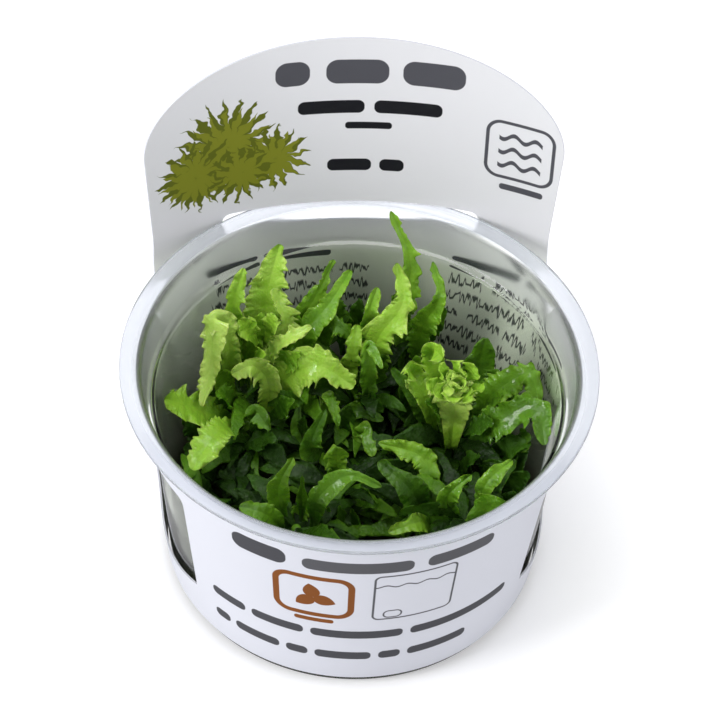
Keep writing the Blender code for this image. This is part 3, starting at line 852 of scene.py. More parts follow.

# The tones of these leaves are partly their own colour and partly painted shade: leaves lower or deeper in
# the clump have darker tones.
LEAVES = {
    "tall_ruffled": Blade("left", ((-22, 26, 37.5), (-21, 30, 48), (-19, 35, 56)),
        7.8, (-90, 20), 10, 0.9, 5, 0.75, 0.68, 0.5),
    "front_frill": Blade("left", ((-19.5, 23.5, 34), (-17, 24, 42.5), (-20, 27, 50)),
        6.6, (-60, 20), 20, 1, 5, 0.82, 0.6, 0.5),
    "rear_upright": Blade("left", ((-27, 25, 32.5), (-28.5, 25, 46), (-26.5, 29, 54)),
        6.6, (-70, 15), -15, 0.8, 4, 0.7, 0.5, 0.6),
    "inner_arch": Blade("left", ((-28, 21, 33), (-27, 22.5, 41.5), (-23, 20, 46)),
        5.4, (-30, 30), 0, 0.6, 4, 0.6, 0.5, 0.6),
    "right_edge": Blade("left", ((-20, 19.5, 35.5), (-16, 18.5, 43.5), (-11, 21, 45)),
        5.4, (-90, 75), 0, 0.8, 5, 0.86, 0.55, 0.4),
    "drooping": Blade("left", ((-29.5, 18, 43), (-31.5, 17, 50.5), (-33, 8.5, 38.5), (-34, 4.5, 35.5)),
        5.8, (-80, 40), 10, 1.1, 6, 0.88, 0.6, 0.2),
    "left_curl": Blade("left", ((-21, 14.5, 35.5), (-24, 12.5, 40.5), (-28, 12, 38)),
        6, (-90, 40), 0, 0.9, 4, 0.84, 0.7, 0),
    "broad_right": Blade("left", ((-16, 16, 33), (-9, 14.5, 39.5), (-1, 13, 35)),
        9, (-95, 50), 0, 0.9, 6, 0.75, 0.62, 0.4),
    "shade_left": Blade("left", ((-29, 14, 27), (-33, 12, 33)), 6, (-90, 60), 0, 0.5, 3, 0.3),
    "dark_upright": Blade("left_rear", ((-14, 27, 39), (-10, 31, 46), (-7, 36, 51)),
        6.6, (-70, 20), 10, 0.8, 5, 0.5, 0.5, 0.8),
    "rear_fork": Blade("left_rear", ((-12.5, 25, 38), (-7, 29, 45), (-3, 34, 50)),
        6, (-110, 30), 0, 0.5, 4, 0.5, 0.5, 0.8),
    "flat_right": Blade("left_rear", ((-9, 28, 33), (-6, 27, 39), (-1, 26, 36)),
        5, (-90, 60), 0, 0.6, 4, 0.4),
    "far_leaf": Blade("far_left", ((-34, 6, 32), (-41.5, 0, 42.5)),
        8, (-90, 65), 0, 1, 5, 0.65, 0.65, 0.2),
    "left_down": Blade("far_left", ((-31, -2, 33), (-35, -9, 30)),
        7, (-90, 60), 10, 1.1, 4, 0.7, 0.7, 0.2),
    "glitter": Blade("far_left", ((-22, 8, 30), (-19, 5, 28)), 4.5, (-80, 50), 20, 0.7, 3, 0.35),
    "tallest": Blade("rear", ((9, 33, 38), (10, 38, 50), (5, 43, 60)),
        6, (-80, 15), 25, 0.5, 4, 0.55, 0.5, 1),
    "lime_centre": Blade("rear", ((3.5, 25, 36.5), (9, 30, 46), (7, 35, 52)),
        7.2, (-95, 20), 0, 1, 5, 0.75, 0.5, 0.7),
    "finger": Blade("rear", ((14, 30, 38), (17, 31, 46), (15, 36, 52)),
        6, (-100, 20), 0, 0.7, 4, 0.5, 0.5, 1),
    "left_horn": Blade("rear", ((2.5, 28, 33), (1.5, 29, 42), (3, 32, 47)),
        6, (-60, 30), -10, 0.7, 4, 0.55, 0.5, 0.7),
    "curl_rear": Blade("right", ((17, 15.5, 34.5), (16, 17, 44), (18, 12, 47)),
        5.5, (-90, 35), 0, 0.7, 4, 0.66, 0.75, 0),
    "frill_front": Blade("right", ((21.5, 10, 32), (21, 10, 41), (20.5, 6, 45)),
        10, (-90, 25), 0, 1.2, 6, 0.9, 0.86, 0),
    "curl_left": Blade("right", ((15, 12, 32), (11, 13, 41), (11, 9, 43)),
        5, (-60, 40), 0, 0.8, 5, 0.68, 0.75, 0),
    "dark_broad": Blade("right", ((26, 20.5, 32), (27.5, 23, 42)), 7.5, (-90, 25), 0, 0.6, 3, 0.3),
    "arch_right_rear": Blade("right", ((31, 14, 35.5), (37, 13.5, 41), (40, 9, 37)),
        6.5, (-95, 65), 0, 1, 5, 0.46),
    "dark_strap": Blade("right", ((14, 15.5, 27.5), (7, 19, 35)),
        5, (-90, 50), 0, 0.3, 3, 0.25, 0.5, 0.6),
    "arch_right": Blade("right", ((31, 6.5, 33.5), (39, 5, 39), (41, -1, 35)),
        7.2, (-95, 60), 0, 0.7, 4, 0.34, 0.6, 0.3),
    "dark_right": Blade("right", ((30, 15, 28), (38, 13, 32)), 7, (-90, 65), 0, 0.5, 3, 0.25),
    "lime_small": Blade("middle", ((-2, 22, 34), (-1, 26, 41)), 4.5, (-90, 30), 0, 0.8, 3, 0.65),
    "hook_small": Blade("middle", ((2, 18, 34), (2, 20, 41), (5, 15, 39)),
        4, (-80, 35), 0, 0.7, 4, 0.45, 0.5, 0.5),
    "strap": Blade("centre", ((-10, 1, 28), (-7, 5, 36)), 4.8, (-90, 50), 15, 0.3, 2, 0.25, 0.55, 0.6),
    "dark_tip": Blade("centre", ((-13, 9, 25), (-13, 14, 31)), 4, (-80, 50), 0, 0.3, 3, 0.3, 0.5, 1),
    "arch_glossy": Blade("centre", ((-1, 15, 24), (6, 14, 23)), 4.5, (-80, 60), 0, 0.3, 3, 0.3, 0.5, 0.5),
    "tip_down": Blade("centre", ((-6, 12, 31), (-4, 8, 27)),
        4.5, (-60, 50), 0, 0.6, 4, 0.45, 0.5, 0.6),
    "lime_piece": Blade("centre", ((2, 9, 24), (4, 4, 22)), 4.2, (-80, 50), 0, 0.6, 3, 0.45),
    "upright": Blade("front_left", ((-16, -15, 32), (-13, -14, 42)),
        5.1, (-80, 30), -20, 0.3, 3, 0.5, 0.5, 0.9),
    "narrow": Blade("front_left", ((-11, -14, 30), (-11, -14, 36)), 2.8, (-90, 30), 0, 0.3, 3, 0.4, 0.5, 1),
    "arch": Blade("front_left", ((-7, -16, 32), (-1, -14, 37), (6, -15, 35)),
        5.1, (-100, 60), 0, 0.3, 3, 0.42, 0.5, 0.8),
    "front_leaf": Blade("front_left", ((-19, -19, 29), (-24, -20, 32)), 5, (-90, 60), 0, 0.4, 3, 0.45),
    "y_leaf": Blade("front", ((-4, -3, 26), (-4, -3, 33)), 4.8, (-90, 30), 0, 0.8, 3, 0.5, 0.8, 0),
    "glossy_dark": Blade("front_right", ((12, -11, 30), (5, -9, 36)),
        7, (-90, 55), 10, 0.3, 3, 0.25, 0.5, 0.6),
    "lime_front": Blade("front_right", ((14, -18, 27), (8, -21, 27)),
        4.5, (-90, 60), 0, 0.5, 3, 0.58, 0.55, 0.5),
    "pale_lying": Blade("front_right", ((15, 0, 27), (5, 3, 28)),
        5, (-90, 40), 0, 0.9, 5, 0.56, 0.6, 0.3),
    "curl": Blade("far_right", ((20.5, -14, 32), (25, -12, 37)),
        4.8, (-90, 40), 0, 0.6, 4, 0.45, 0.5, 0.7),
    "spoon": Blade("far_right", ((29, -8, 30), (34, -5, 34)), 4, (-90, 60), 0, 0.4, 4, 0.5),
    "right_low": Blade("far_right", ((29, -17, 31), (33, -18, 35)), 6, (-90, 60), 0, 0.7, 4, 0.35),
}


def stem_path(top: tuple[float, ...], aside: tuple[float, ...], share: Array, foot: float = 9.4) -> Array:
    """Points up a stem in a gentle bow: a quadratic curve whose middle is pushed sideways.

    Args:
        top: The middle of its top.
        aside: How far its foot stands aside of that.
        share: Shares of the way up, from 0 to 1.
        foot: Height of the foot.

    Returns:
        One point a share.
    """
    end = np.array(top, float)
    start = np.array([top[0] + aside[0], top[1] + aside[1], foot])
    middle = (end + start) / 2 + np.array([aside[1], -aside[0], 0.0]) * 0.15
    t = share[:, None]
    return start * (1 - t) ** 2 + 2 * middle * t * (1 - t) + end * t**2


def tube(path: Array, radius: Array, around: int) -> Array:
    """Loops round each point of some paths.

    At each point the loop is path + radius (u cos t + v sin t), where u and v are square to
    the path.

    Args:
        path: Points by tube and place along it.
        radius: A radius for each point.
        around: Points a loop.

    Returns:
        Points by tube, loop and place in the loop.
    """
    along = unit(np.gradient(path, axis=1))
    helper = np.where(np.abs(along[:, :1, 2:]) > 0.9, [1.0, 0.0, 0.0], [0.0, 0.0, 1.0])
    u = unit(np.cross(along, helper))
    v = np.cross(along, u)
    turn = np.linspace(0.0, 2 * math.pi, around, endpoint=False)
    ring = u[:, :, None] * np.cos(turn)[:, None] + v[:, :, None] * np.sin(turn)[:, None]
    return path[:, :, None] + ring * radius[:, :, None, None]


@dataclass(frozen=True)
class BladeForm:
    """How a leaf's surface is worked out from its midline.

    Across the blade, m goes from -1 at one margin to 1 at the other. The surface stands off the
    midline by a channel (it rises with |m|), by uneven ruffles that grow with |m|, by folds and
    finer crimps close to the margins, and by low swells between the side veins. The margin
    itself goes in and out by lobes of three sizes.
    """

    rows: int = 190
    around: int = 24
    thickness: float = 0.42
    channel: float = 0.15
    crimp: float = 1.0
    crimp_pitch: float = 0.80
    fold: float = 1.1
    fold_pitch: float = 2.2
    bay_pitch: float = 5.2
    lobes: tuple[float, float, float] = (0.13, 0.23, 0.22)
    veins: float = 11.0
    swell: float = 0.10

    def half_width(self, share: Array, peak: Array, tip: Array) -> Array:
        """The half width as a share of its greatest, from a narrow foot to the tip.

        Args:
            share: Shares of the way along.
            peak: Where each leaf is broadest.
            tip: How pointed each is: 0 is an ellipse's end, 1 a narrow finger.

        Returns:
            Amounts from 0 to 1.
        """
        foot = 0.27 + 0.73 * smooth_step(share, 0.05, peak)
        blunt = np.sqrt(np.clip(1.0 - ((share - peak) / (1.005 - peak)) ** 2, 0.012, 1.0))
        finger = 1.0 - 0.66 * smooth_step(share, peak, peak + 0.72 * (1.0 - peak))
        finger = finger * np.sqrt(np.clip((1.0 - share) / 0.05, 0.03, 1.0))
        return np.where(share > peak, blunt * (1.0 - tip) + finger * tip, foot)

    def ripple(self, seeds: Array, length: Array, pitch: Array | float) -> Array:
        """Uneven ripples along a margin.

        Knots about a pitch apart have heights of unlike size and mostly alternating sign, and
        half cosines join them.

        Args:
            seeds: A number for each leaf.
            length: The length of each leaf.
            pitch: Distance from knot to knot.

        Returns:
            Heights from about -1 to 1 by leaf, row and one place.
        """
        share = np.linspace(0.0, 1.0, self.rows)
        lines = []
        for seed, knots_in_all in zip(seeds, np.maximum(3, np.round(length / pitch)).astype(int)):
            random = np.random.default_rng(int(1000 * seed))
            count = int(knots_in_all)
            knots = np.linspace(0.0, 1.0, count + 1) + random.uniform(-0.38, 0.38, count + 1) / count
            height = (-1.0) ** np.arange(count + 1) * random.uniform(0.0, 1.0, count + 1) ** 1.5
            height += random.uniform(-0.5, 0.5, count + 1)
            before = np.clip(np.searchsorted(knots, share, side="right") - 1, 0, count - 1)
            t = np.clip((share - knots[before]) / (knots[before + 1] - knots[before]), 0.0, 1.0)
            t = (1.0 - np.cos(math.pi * t)) / 2
            lines.append(height[before] * (1.0 - t) + height[before + 1] * t)
        return np.array(lines)[..., None]

    def loops(
        self, path: Array, facing: Array, twist: Array, width: Array, wave: Array, waves: Array,
        seeds: Array, peak: Array, tip: Array,
    ) -> tuple[Array, Array]:
        """The closed loops round some blades.

        Args:
            path: Points by leaf and row.
            facing: The way that each leaf's upper side looks.
            twist: Degrees that each turns from foot to tip.
            width: Each leaf's greatest width.
            wave: Height of its ruffles.
            waves: How many ruffles it has.
            seeds: A number for each leaf that shifts its frills.
            peak: Where along it each is broadest.
            tip: How pointed each is.

        Returns:
            The loops by leaf, row and place, and how near the margin each point is.
        """
        share = np.linspace(0.0, 1.0, path.shape[1])[None, :, None]
        along = unit(np.gradient(path, axis=1))
        across = unit(np.cross(along, facing[:, None]))
        across = turned_about(across, along, np.radians(twist)[:, None] * share[..., 0])
        out = np.cross(across, along)
        turn = np.linspace(0.0, 2 * math.pi, self.around, endpoint=False)
        m = (np.sign(np.cos(turn)) * np.abs(np.cos(turn)) ** 0.85)[None, None]
        side = np.sin(turn)[None, None]
        near = np.abs(m)
        length = np.linalg.norm(np.diff(path, axis=1), axis=-1).sum(axis=1)

        def both(number: int, pitch: Array | float) -> Array:
            """One ripple for each margin."""
            sides = [self.ripple(seeds + 50.0 * (2 * number + k), length, pitch) for k in range(2)]
            return np.where(m > 0, sides[0], sides[1])

        fold, bay = both(1, self.fold_pitch), both(2, self.bay_pitch)
        crimp = both(0, self.crimp_pitch) * (0.9 + 0.45 * both(4, 0.7 * self.bay_pitch))
        ruffle = both(3, length / (2.0 * waves))
        wave, peak, tip = wave[:, None, None], peak[:, None, None], tip[:, None, None]
        half = width[:, None, None] / 2 * self.half_width(share, peak, tip)
        strength = np.minimum(1.15 * wave, 1.15)
        onset = smooth_step(share, peak - 0.52, peak - 0.2) * (0.75 + 0.35 * share)
        lift = wave * near**2 * ruffle * 1.1
        lift = lift + strength * (self.fold * near**4 * fold + self.crimp * near**7 * crimp)
        lift = onset * lift * np.minimum(1.0, half / 1.5)
        lift = lift + self.channel * half * near - 0.12 * np.exp(-((m / 0.13) ** 2))
        veins = np.sin(2 * math.pi * self.veins * share - 3.5 * near)
        lift = lift + 2.0 * self.swell * veins * near * (1.0 - near) * np.minimum(1.0, half / 2.0)
        notch, tooth, bite = self.lobes
        edge = notch * near**5 * crimp + tooth * near**3 * fold + bite * near * bay
        lobes = 1.0 + onset * np.minimum(strength + 0.15, 1.1) * edge
        thick = self.thickness * (1.0 - 0.5 * near) * np.minimum(1.0, half)
        place = path[:, :, None] + across[:, :, None] * (half * lobes * m)[..., None]
        place = place + out[:, :, None] * (lift + side * thick / 2)[..., None]
        return place, np.broadcast_to(near, place.shape[:3])


@dataclass
class Plant:
    """The stems and their leaves, each leaf a piece of its own."""

    form: BladeForm = field(default_factory=BladeForm)
    stem_radius: float = 1.1
    gap: float = 0.3
    spacing: float = 0.95
    top_drop: float = 0.4
    foot_offset: float = 0.35
    foot_rise: float = 2.0
    foot_reach: float = 0.9
    foot_spread: float = 0.1
    joint_spacing: float = 2.4

    def foot(self, leaf: Blade, level: int) -> list[Array]:
        """Where a leaf starts beside its stem and turns up, lower down for each level."""
        top, aside = STEMS[leaf.stem]
        path = stem_path(top, aside, np.linspace(0.0, 1.0, 4))
        height = top[2] - self.top_drop - self.spacing * level
        axis = np.array([np.interp(height, path[:, 2], path[:, i]) for i in range(3)])
        aim = np.array(leaf.places[0][:2], float) - axis[:2]
        length = float(np.linalg.norm(aim))
        aim = np.array([*(aim / length if length > 0.5 else (0.0, -1.0)), 0.0])
        start = axis + aim * (self.stem_radius + self.gap + self.foot_offset)
        return [start, start + aim * (self.foot_reach + self.foot_spread * level) + UP * self.foot_rise]

    def leaf(self, name: str, leaf: Blade, level: int, seed: float, finish: bpy.types.Material) -> None:
        """Carries the blade's form along a smooth curve through the leaf's places."""
        share = np.linspace(0.0, 1.0, self.form.rows)
        path = curve_through(np.array([*self.foot(leaf, level), *leaf.places], float), share)
        compass, climb = np.radians(leaf.faces)
        facing = level_aims(np.array([compass])) * math.cos(climb) + UP * math.sin(climb)
        amounts = (leaf.twist, leaf.width, leaf.wave, leaf.waves, seed, leaf.peak, leaf.tip)
        loops, near = self.form.loops(path[None], facing, *(np.array([amount]) for amount in amounts))
        # Painted shade: each leaf's tone falls towards its foot, deep in the clump.
        tone = leaf.tone - 0.30 * (1.0 - smooth_step(share, 0.05, 0.6)) + 0.05 * share
        shell = Shell()
        shell.add_loops(loops, edge=near, tone=np.broadcast_to(tone[None, :, None], near.shape))
        shell.piece("leaf_blade_" + name, finish, Slot.LEAF, "leaf_" + name)

    def stem(self, name: str, finish: bpy.types.Material) -> None:
        """A tube that swells at each leaf joint, by a raised cosine."""
        top, aside = STEMS[name]
        share = np.linspace(0.0, 1.0, 40)
        path = stem_path(top, aside, share)[None]
        joints = 0.5 + 0.5 * np.cos(2 * math.pi * (path[..., 2] - top[2]) / self.joint_spacing)
        taper = np.sqrt(np.clip((1.02 - share) / 0.04, 0.3, 1.0))
        radius = self.stem_radius * (0.82 + 0.18 * joints) * taper
        shell = Shell()
        loops = tube(path, radius, 16)
        shell.add_loops(loops, edge=np.zeros(loops.shape[:3]), tone=np.full(loops.shape[:3], 0.42))
        shell.piece("stem_" + name + "_skin", finish, Slot.STEM, "stem_" + name)

    def build(self, leaf_finish: bpy.types.Material, stem_finish: bpy.types.Material) -> None:
        """The stems, then each stem's leaves from the innermost down."""
        for name in STEMS:
            self.stem(name, stem_finish)
        levels = dict.fromkeys(STEMS, 0)
        for order, (name, leaf) in enumerate(LEAVES.items()):
            levels[leaf.stem] += 1
            self.leaf(name, leaf, levels[leaf.stem], 1.0 + 2.4 * order, leaf_finish)


# Leaves between and under the named ones: foot, tip, width and tone. The low ones' dark tones are partly
# their own colour and partly painted shade.
LOW_LEAVES = (
    ((-29, 13, 24), (-33.5, 9, 31), 5, 0.45),
    ((-25, 6, 20), (-17.5, 3, 27), 5, 0.18),
    ((-25, 7, 19), (-31, 1.5, 20), 4.5, 0.14),
    ((-12.5, 8.5, 16), (-11.5, 8, 30), 2.6, 0.20),
    ((-2, 34, 20), (-0.5, 36.5, 38), 5, 0.25),
    ((-1, -2.5, 16), (5.5, -11, 23), 4, 0.32),
    ((-20, 5, 14), (-28.5, -3, 14), 5, 0.12),
    ((-14, 3, 13), (-20, -7, 13), 5, 0.14),
    ((-22, 3, 16), (-30, 1, 16), 4.5, 0.10),
    ((-15, 0, 15), (-26, -3, 13), 4.5, 0.14),
    ((-13.5, -14, 14), (-10, -12, 25), 4, 0.55),
    ((-6.5, -13, 11), (-5, -12.5, 24), 2.4, 0.34),
    ((-1.5, -12.5, 11), (-3, -12, 24), 2.2, 0.30),
    ((1.5, -12, 11), (0, -11, 22), 2.4, 0.28),
    ((9, 3.5, 14), (14, 5, 26), 4.5, 0.24),
    ((-3.5, 11.5, 14), (-1.5, 13, 28), 4, 0.18),
    ((-6.5, 21, 16), (-8.5, 21, 30), 4.5, 0.28),
    ((-13, 19, 18), (-15.5, 17, 32), 4.5, 0.34),
    ((12, 17, 16), (9, 16, 32), 4, 0.28),
    ((4.5, 15, 14), (3, 16, 30), 4, 0.22),
    ((3, 22, 16), (5, 22, 36), 4.5, 0.38),
    ((-0.5, 21.5, 18), (-3.5, 22, 34), 4.5, 0.34),
    ((21.5, 4.5, 14), (27.5, 2, 26), 4.5, 0.22),
    ((31, 6, 14), (36, 3, 26), 4.5, 0.18),
    ((14, 19.5, 20), (12, 20, 38), 5, 0.44),
    ((9, 31, 26), (7, 34, 43), 5.5, 0.46),
    ((15, 32, 26), (17.5, 34, 42), 5, 0.38),
    ((-4, 32, 24), (-5.5, 34, 40), 5, 0.34),
    ((-10, 31, 24), (-3, 33, 36), 4.5, 0.28),
    ((-28, 22, 28), (-31.5, 22.5, 41), 5, 0.55),
    ((-25, 23, 28), (-22, 25, 44), 5.5, 0.62),
    ((-18.5, 25, 28), (-14, 27, 42), 5, 0.55),
    ((-27, 17, 24), (-32, 13, 37), 5, 0.52),
    ((-16, 21, 26), (-7, 21, 33), 5, 0.42),
    ((30, 15, 24), (36, 12, 33), 5.5, 0.34),
    ((28, 17, 26), (31, 18, 37), 5, 0.34),
    ((23, 15, 24), (25.5, 17, 37), 5, 0.40),
    ((34, 7, 22), (38.5, 4, 31), 5, 0.32),
    ((26, -12, 14), (31, -16, 20), 4.5, 0.16),
    ((-22, -12, 12), (-27, -16, 18), 4.5, 0.16),
    ((8, -20, 12), (14, -25, 20), 4, 0.30),
    ((-6, -22, 12), (-9, -28, 19), 4, 0.30),
    ((17.5, 6.5, 43), (14.5, 5.5, 45), 4.2, 0.74),
    ((18.5, 5.5, 42.5), (16.5, 3, 44.5), 4.4, 0.80),
    ((20.5, 5, 42.5), (20, 1.5, 44.5), 4.6, 0.82),
    ((22.5, 5.5, 42.5), (24.5, 2.5, 44), 4.4, 0.80),
    ((24, 7, 43), (27, 5, 45), 4.2, 0.72),
    ((23, 8.5, 44), (25.5, 8.5, 48), 4.2, 0.76),
    ((21, 9, 44), (21.5, 9, 49), 4.6, 0.80),
    ((19, 8.5, 44), (17, 8.5, 48), 4.2, 0.76),
    ((20, 7, 43), (19, 5, 47.5), 3.8, 0.84),
    ((22, 7, 43), (23, 5.5, 47.5), 3.8, 0.84),
    ((20.6, 6.2, 42.5), (19.6, 4.2, 46.6), 3.4, 0.88),
    ((21.4, 6.2, 42.5), (21.6, 3.8, 46.4), 3.4, 0.86),
    ((21, 7, 43), (21, 6.4, 48), 3.2, 0.88),
    ((21.8, 7.4, 43), (23, 7.4, 47.6), 3.2, 0.84),
    ((20.2, 7.4, 43), (18.8, 7.2, 47.6), 3.2, 0.86),
    ((-23, 21, 38), (-27, 20, 47), 5, 0.80),
    ((-21, 22, 38), (-19, 22, 47), 5, 0.80),
    ((-24, 19, 32), (-21, 14, 42), 5, 0.70),
    ((-19, 19, 30), (-13, 16, 41), 5, 0.62),
    ((-30, 18, 32), (-34, 14, 42), 5, 0.62),
    ((-27, 14, 24), (-31, 7, 36), 5.5, 0.42),
    ((-20, 12, 22), (-14, 8, 34), 5, 0.34),
    ((24, 10, 24), (30, 5, 34), 5, 0.30),
    ((20, 12, 24), (15, 8, 36), 5, 0.36),
    ((26, 14, 24), (33, 15, 38), 5.5, 0.40),
    ((30, -4, 13), (37, -7, 24), 5, 0.16),
    ((32, 0, 13), (38.5, -1, 25), 5.5, 0.14),
    ((33, 3, 14), (38, 6, 27), 5.5, 0.18),
    ((30, -9, 12), (35.5, -13, 20), 5, 0.14),
    ((34, -3, 12), (37, 1, 18), 5, 0.12),
    ((27, 3, 16), (34, 0, 26), 5.5, 0.20),
    ((25, -2, 14), (33, -7, 22), 5, 0.16),
    ((29, 8, 18), (38.5, 3, 30), 5.5, 0.24),
    ((22, -6, 14), (29, -11, 21), 5, 0.16),
    ((-24, 8, 20), (-33, 5, 26), 5.5, 0.28),
    ((-20, 14, 26), (-12, 10, 32), 5, 0.30),
    ((-30, -2, 12), (-37, -6, 21), 5, 0.14),
    ((-31, 2, 13), (-38, 2, 24), 5.5, 0.16),
    ((-33, 6, 14), (-38, 9, 28), 5.5, 0.18),
    ((-28, -8, 12), (-34, -13, 18), 5, 0.12),
    ((-33, 0, 12), (-36, -3, 17), 5, 0.12),
)


@dataclass
class Undergrowth:
    """The lower leaves between the named ones and round each stem, and young shoots on the jelly."""

    cup: Cup
    leaves: int = 24
    shoots: int = 30
    shoot_leaves: int = 7
    seed: int = 11
    low: float = 10.2
    margin: float = 2.6
    shoot_margin: float = 6.0
    broad: BladeForm = BladeForm(rows=80, around=14, veins=7.0)
    small: BladeForm = BladeForm(rows=11, around=6, thickness=0.35, crimp=0.0, veins=3.0)

    def sheaf(
        self, name: str, places: tuple[Array, Array, Array], width: Array, wave: Array, tone: Array,
        form: BladeForm, random: np.random.Generator, finish: bpy.types.Material,
    ) -> None:
        """One piece of leaves whose midlines are quadratic curves.

        Args:
            name: The piece's name.
            places: The start, bend and end of each midline.
            width: Each leaf's width.
            wave: Height of its ruffles.
            tone: Its colour on the scale from dark to pale.
            form: The blades' form.
            random: The source of their other amounts.
            finish: Their material.
        """
        start, bend, end = places
        count = len(start)
        for place in (bend, end):
            self.cup.hold_in(place, self.margin)
        t = np.linspace(0.0, 1.0, form.rows)[None, :, None]
        path = start[:, None] * (1 - t) ** 2 + 2 * bend[:, None] * t * (1 - t) + end[:, None] * t**2
        facing = unit(UP + np.array([0.0, -0.5, 0.0]) - 0.4 * unit(end - start))
        facing = unit(facing + random.uniform(-0.3, 0.3, (count, 3)))
        twist = random.uniform(-40, 40, count)
        waves = random.uniform(1.5, 3.0, count)
        seeds = random.uniform(0.0, 6.0, count)
        peak = random.uniform(0.4, 0.65, count)
        tip = random.uniform(0.1, 0.9, count)
        loops, near = form.loops(path, facing, twist, width, wave, waves, seeds, peak, tip)
        # Painted shade: each leaf is darker towards its start, low in the clump.
        shade = tone[:, None, None] - 0.16 * (1.0 - t)
        shell = Shell()
        shell.add_loops(loops, edge=near, tone=np.broadcast_to(shade, near.shape))
        shell.piece(name, finish, Slot.LEAF)

    def tuft(
        self, name: str, start: Array, reach: Array, rise: Array, tone: Array,
        random: np.random.Generator, finish: bpy.types.Material,
    ) -> None:
        """Small leaves in a spiral by the golden angle: out from their starts, up, and down again.

        Args:
            name: The piece's name.
            start: Where each leaf starts.
            reach: How far out it goes.
            rise: How far up its bend is.
            tone: Its colour on the scale from dark to pale.
            random: The source of its other amounts.
            finish: Its material.
        """
        count = len(start)
        aim = level_aims(GOLDEN_ANGLE * np.arange(count) + random.uniform(0.0, 6.28))
        bend = start + aim * reach[:, None] * 0.45 + UP * rise[:, None]
        droop = random.uniform(0.0, 0.7, count) * reach * 0.6
        end = start + aim * reach[:, None] + UP * (rise - droop)[:, None]
        end[:, 2] = np.maximum(end[:, 2], self.low)
        width = np.clip(reach * random.uniform(0.20, 0.33, count), 2.2, 4.8)
        wave = random.uniform(0.2, 0.9, count)
        self.sheaf(name, (start, bend, end), width, wave, tone, self.small, random, finish)

    def build(self, finish: bpy.types.Material) -> None:
        """One tuft up each stem, then the shoots, then the leaves of the table."""
        random = np.random.default_rng(self.seed)
        for name, (top, aside) in STEMS.items():
            stem = stem_path(top, aside, np.linspace(0.0, 1.0, 30))
            level = np.linspace(self.low, top[2] - 0.5, self.leaves)
            start = np.stack([np.interp(level, stem[:, 2], stem[:, i]) for i in range(3)], axis=-1)
            reach = random.uniform(8.0, 19.0, self.leaves)
            rise = random.uniform(0.10, 0.75, self.leaves) * reach
            tone = 0.03 + 0.47 * random.uniform(0.0, 1.0, self.leaves) ** 2
            self.tuft("lower_leaves_" + name, start, reach, rise, tone, random, finish)
        out = (self.cup.floor_radius - self.shoot_margin) * np.sqrt(random.uniform(0.02, 1.0, self.shoots))
        middles = out[:, None] * level_aims(GOLDEN_ANGLE * np.arange(self.shoots)) + UP * self.low
        start = np.repeat(middles, self.shoot_leaves, axis=0)
        start[:, 2] += random.uniform(0.0, 3.0, len(start))
        reach = random.uniform(6.0, 13.0, len(start))
        rise = random.uniform(0.4, 1.0, len(start)) * reach
        tone = 0.02 + 0.44 * random.uniform(0.0, 1.0, len(start)) ** 2
        self.tuft("young_shoots", start, reach, rise, tone, random, finish)
        start, end, width, tone = (np.array(column, float) for column in zip(*LOW_LEAVES))
        length = np.linalg.norm(end - start, axis=-1)
        bend = 0.45 * start + 0.55 * end + UP * 0.22 * length[:, None]
        wave = 0.3 + 0.9 * tone
        self.sheaf("between_leaves", (start, bend, end), width, wave, tone, self.broad, random, finish)


@dataclass
class Roots:
    """Fine roots that wander out over the jelly."""

    cup: Cup
    count: int = 26
    seed: int = 5
    steps: int = 30
    low: float = 9.9
    radius: float = 0.32
    margin: float = 1.0

    def build(self, finish: bpy.types.Material) -> None:
        """Each root runs out from a stem's foot, swaying by a sum of two sines."""
        random = np.random.default_rng(self.seed)
        tops = list(STEMS.values())
        feet = np.array([(top[0] + aside[0], top[1] + aside[1], self.low) for top, aside in tops])
        start = feet[np.arange(self.count) % len(feet)]
        aim = level_aims(random.uniform(0.0, 2 * math.pi, self.count))[:, None]
        aside = np.cross(aim, UP)
        t = np.linspace(0.0, 1.0, self.steps)[None, :, None]
        reach = random.uniform(8.0, 18.0, self.count)[:, None, None]
        phase = random.uniform(0.0, 6.28, self.count)[:, None, None]
        sway = 1.6 * np.sin(7.0 * t + phase) + 0.6 * np.sin(17.0 * t + 2 * phase)
        path = start[:, None] + aim * reach * t + aside * sway * t
        path[..., 2] += 0.25 * np.sin(11.0 * t + phase)[..., 0]
        self.cup.hold_in(path, self.margin)
        radius = self.radius * (1.0 - 0.6 * t[..., 0]) * np.ones((self.count, 1))
        shell = Shell()
        shell.add_loops(tube(path, radius, 8))
        shell.piece("fine_roots", finish, Slot.STEM)


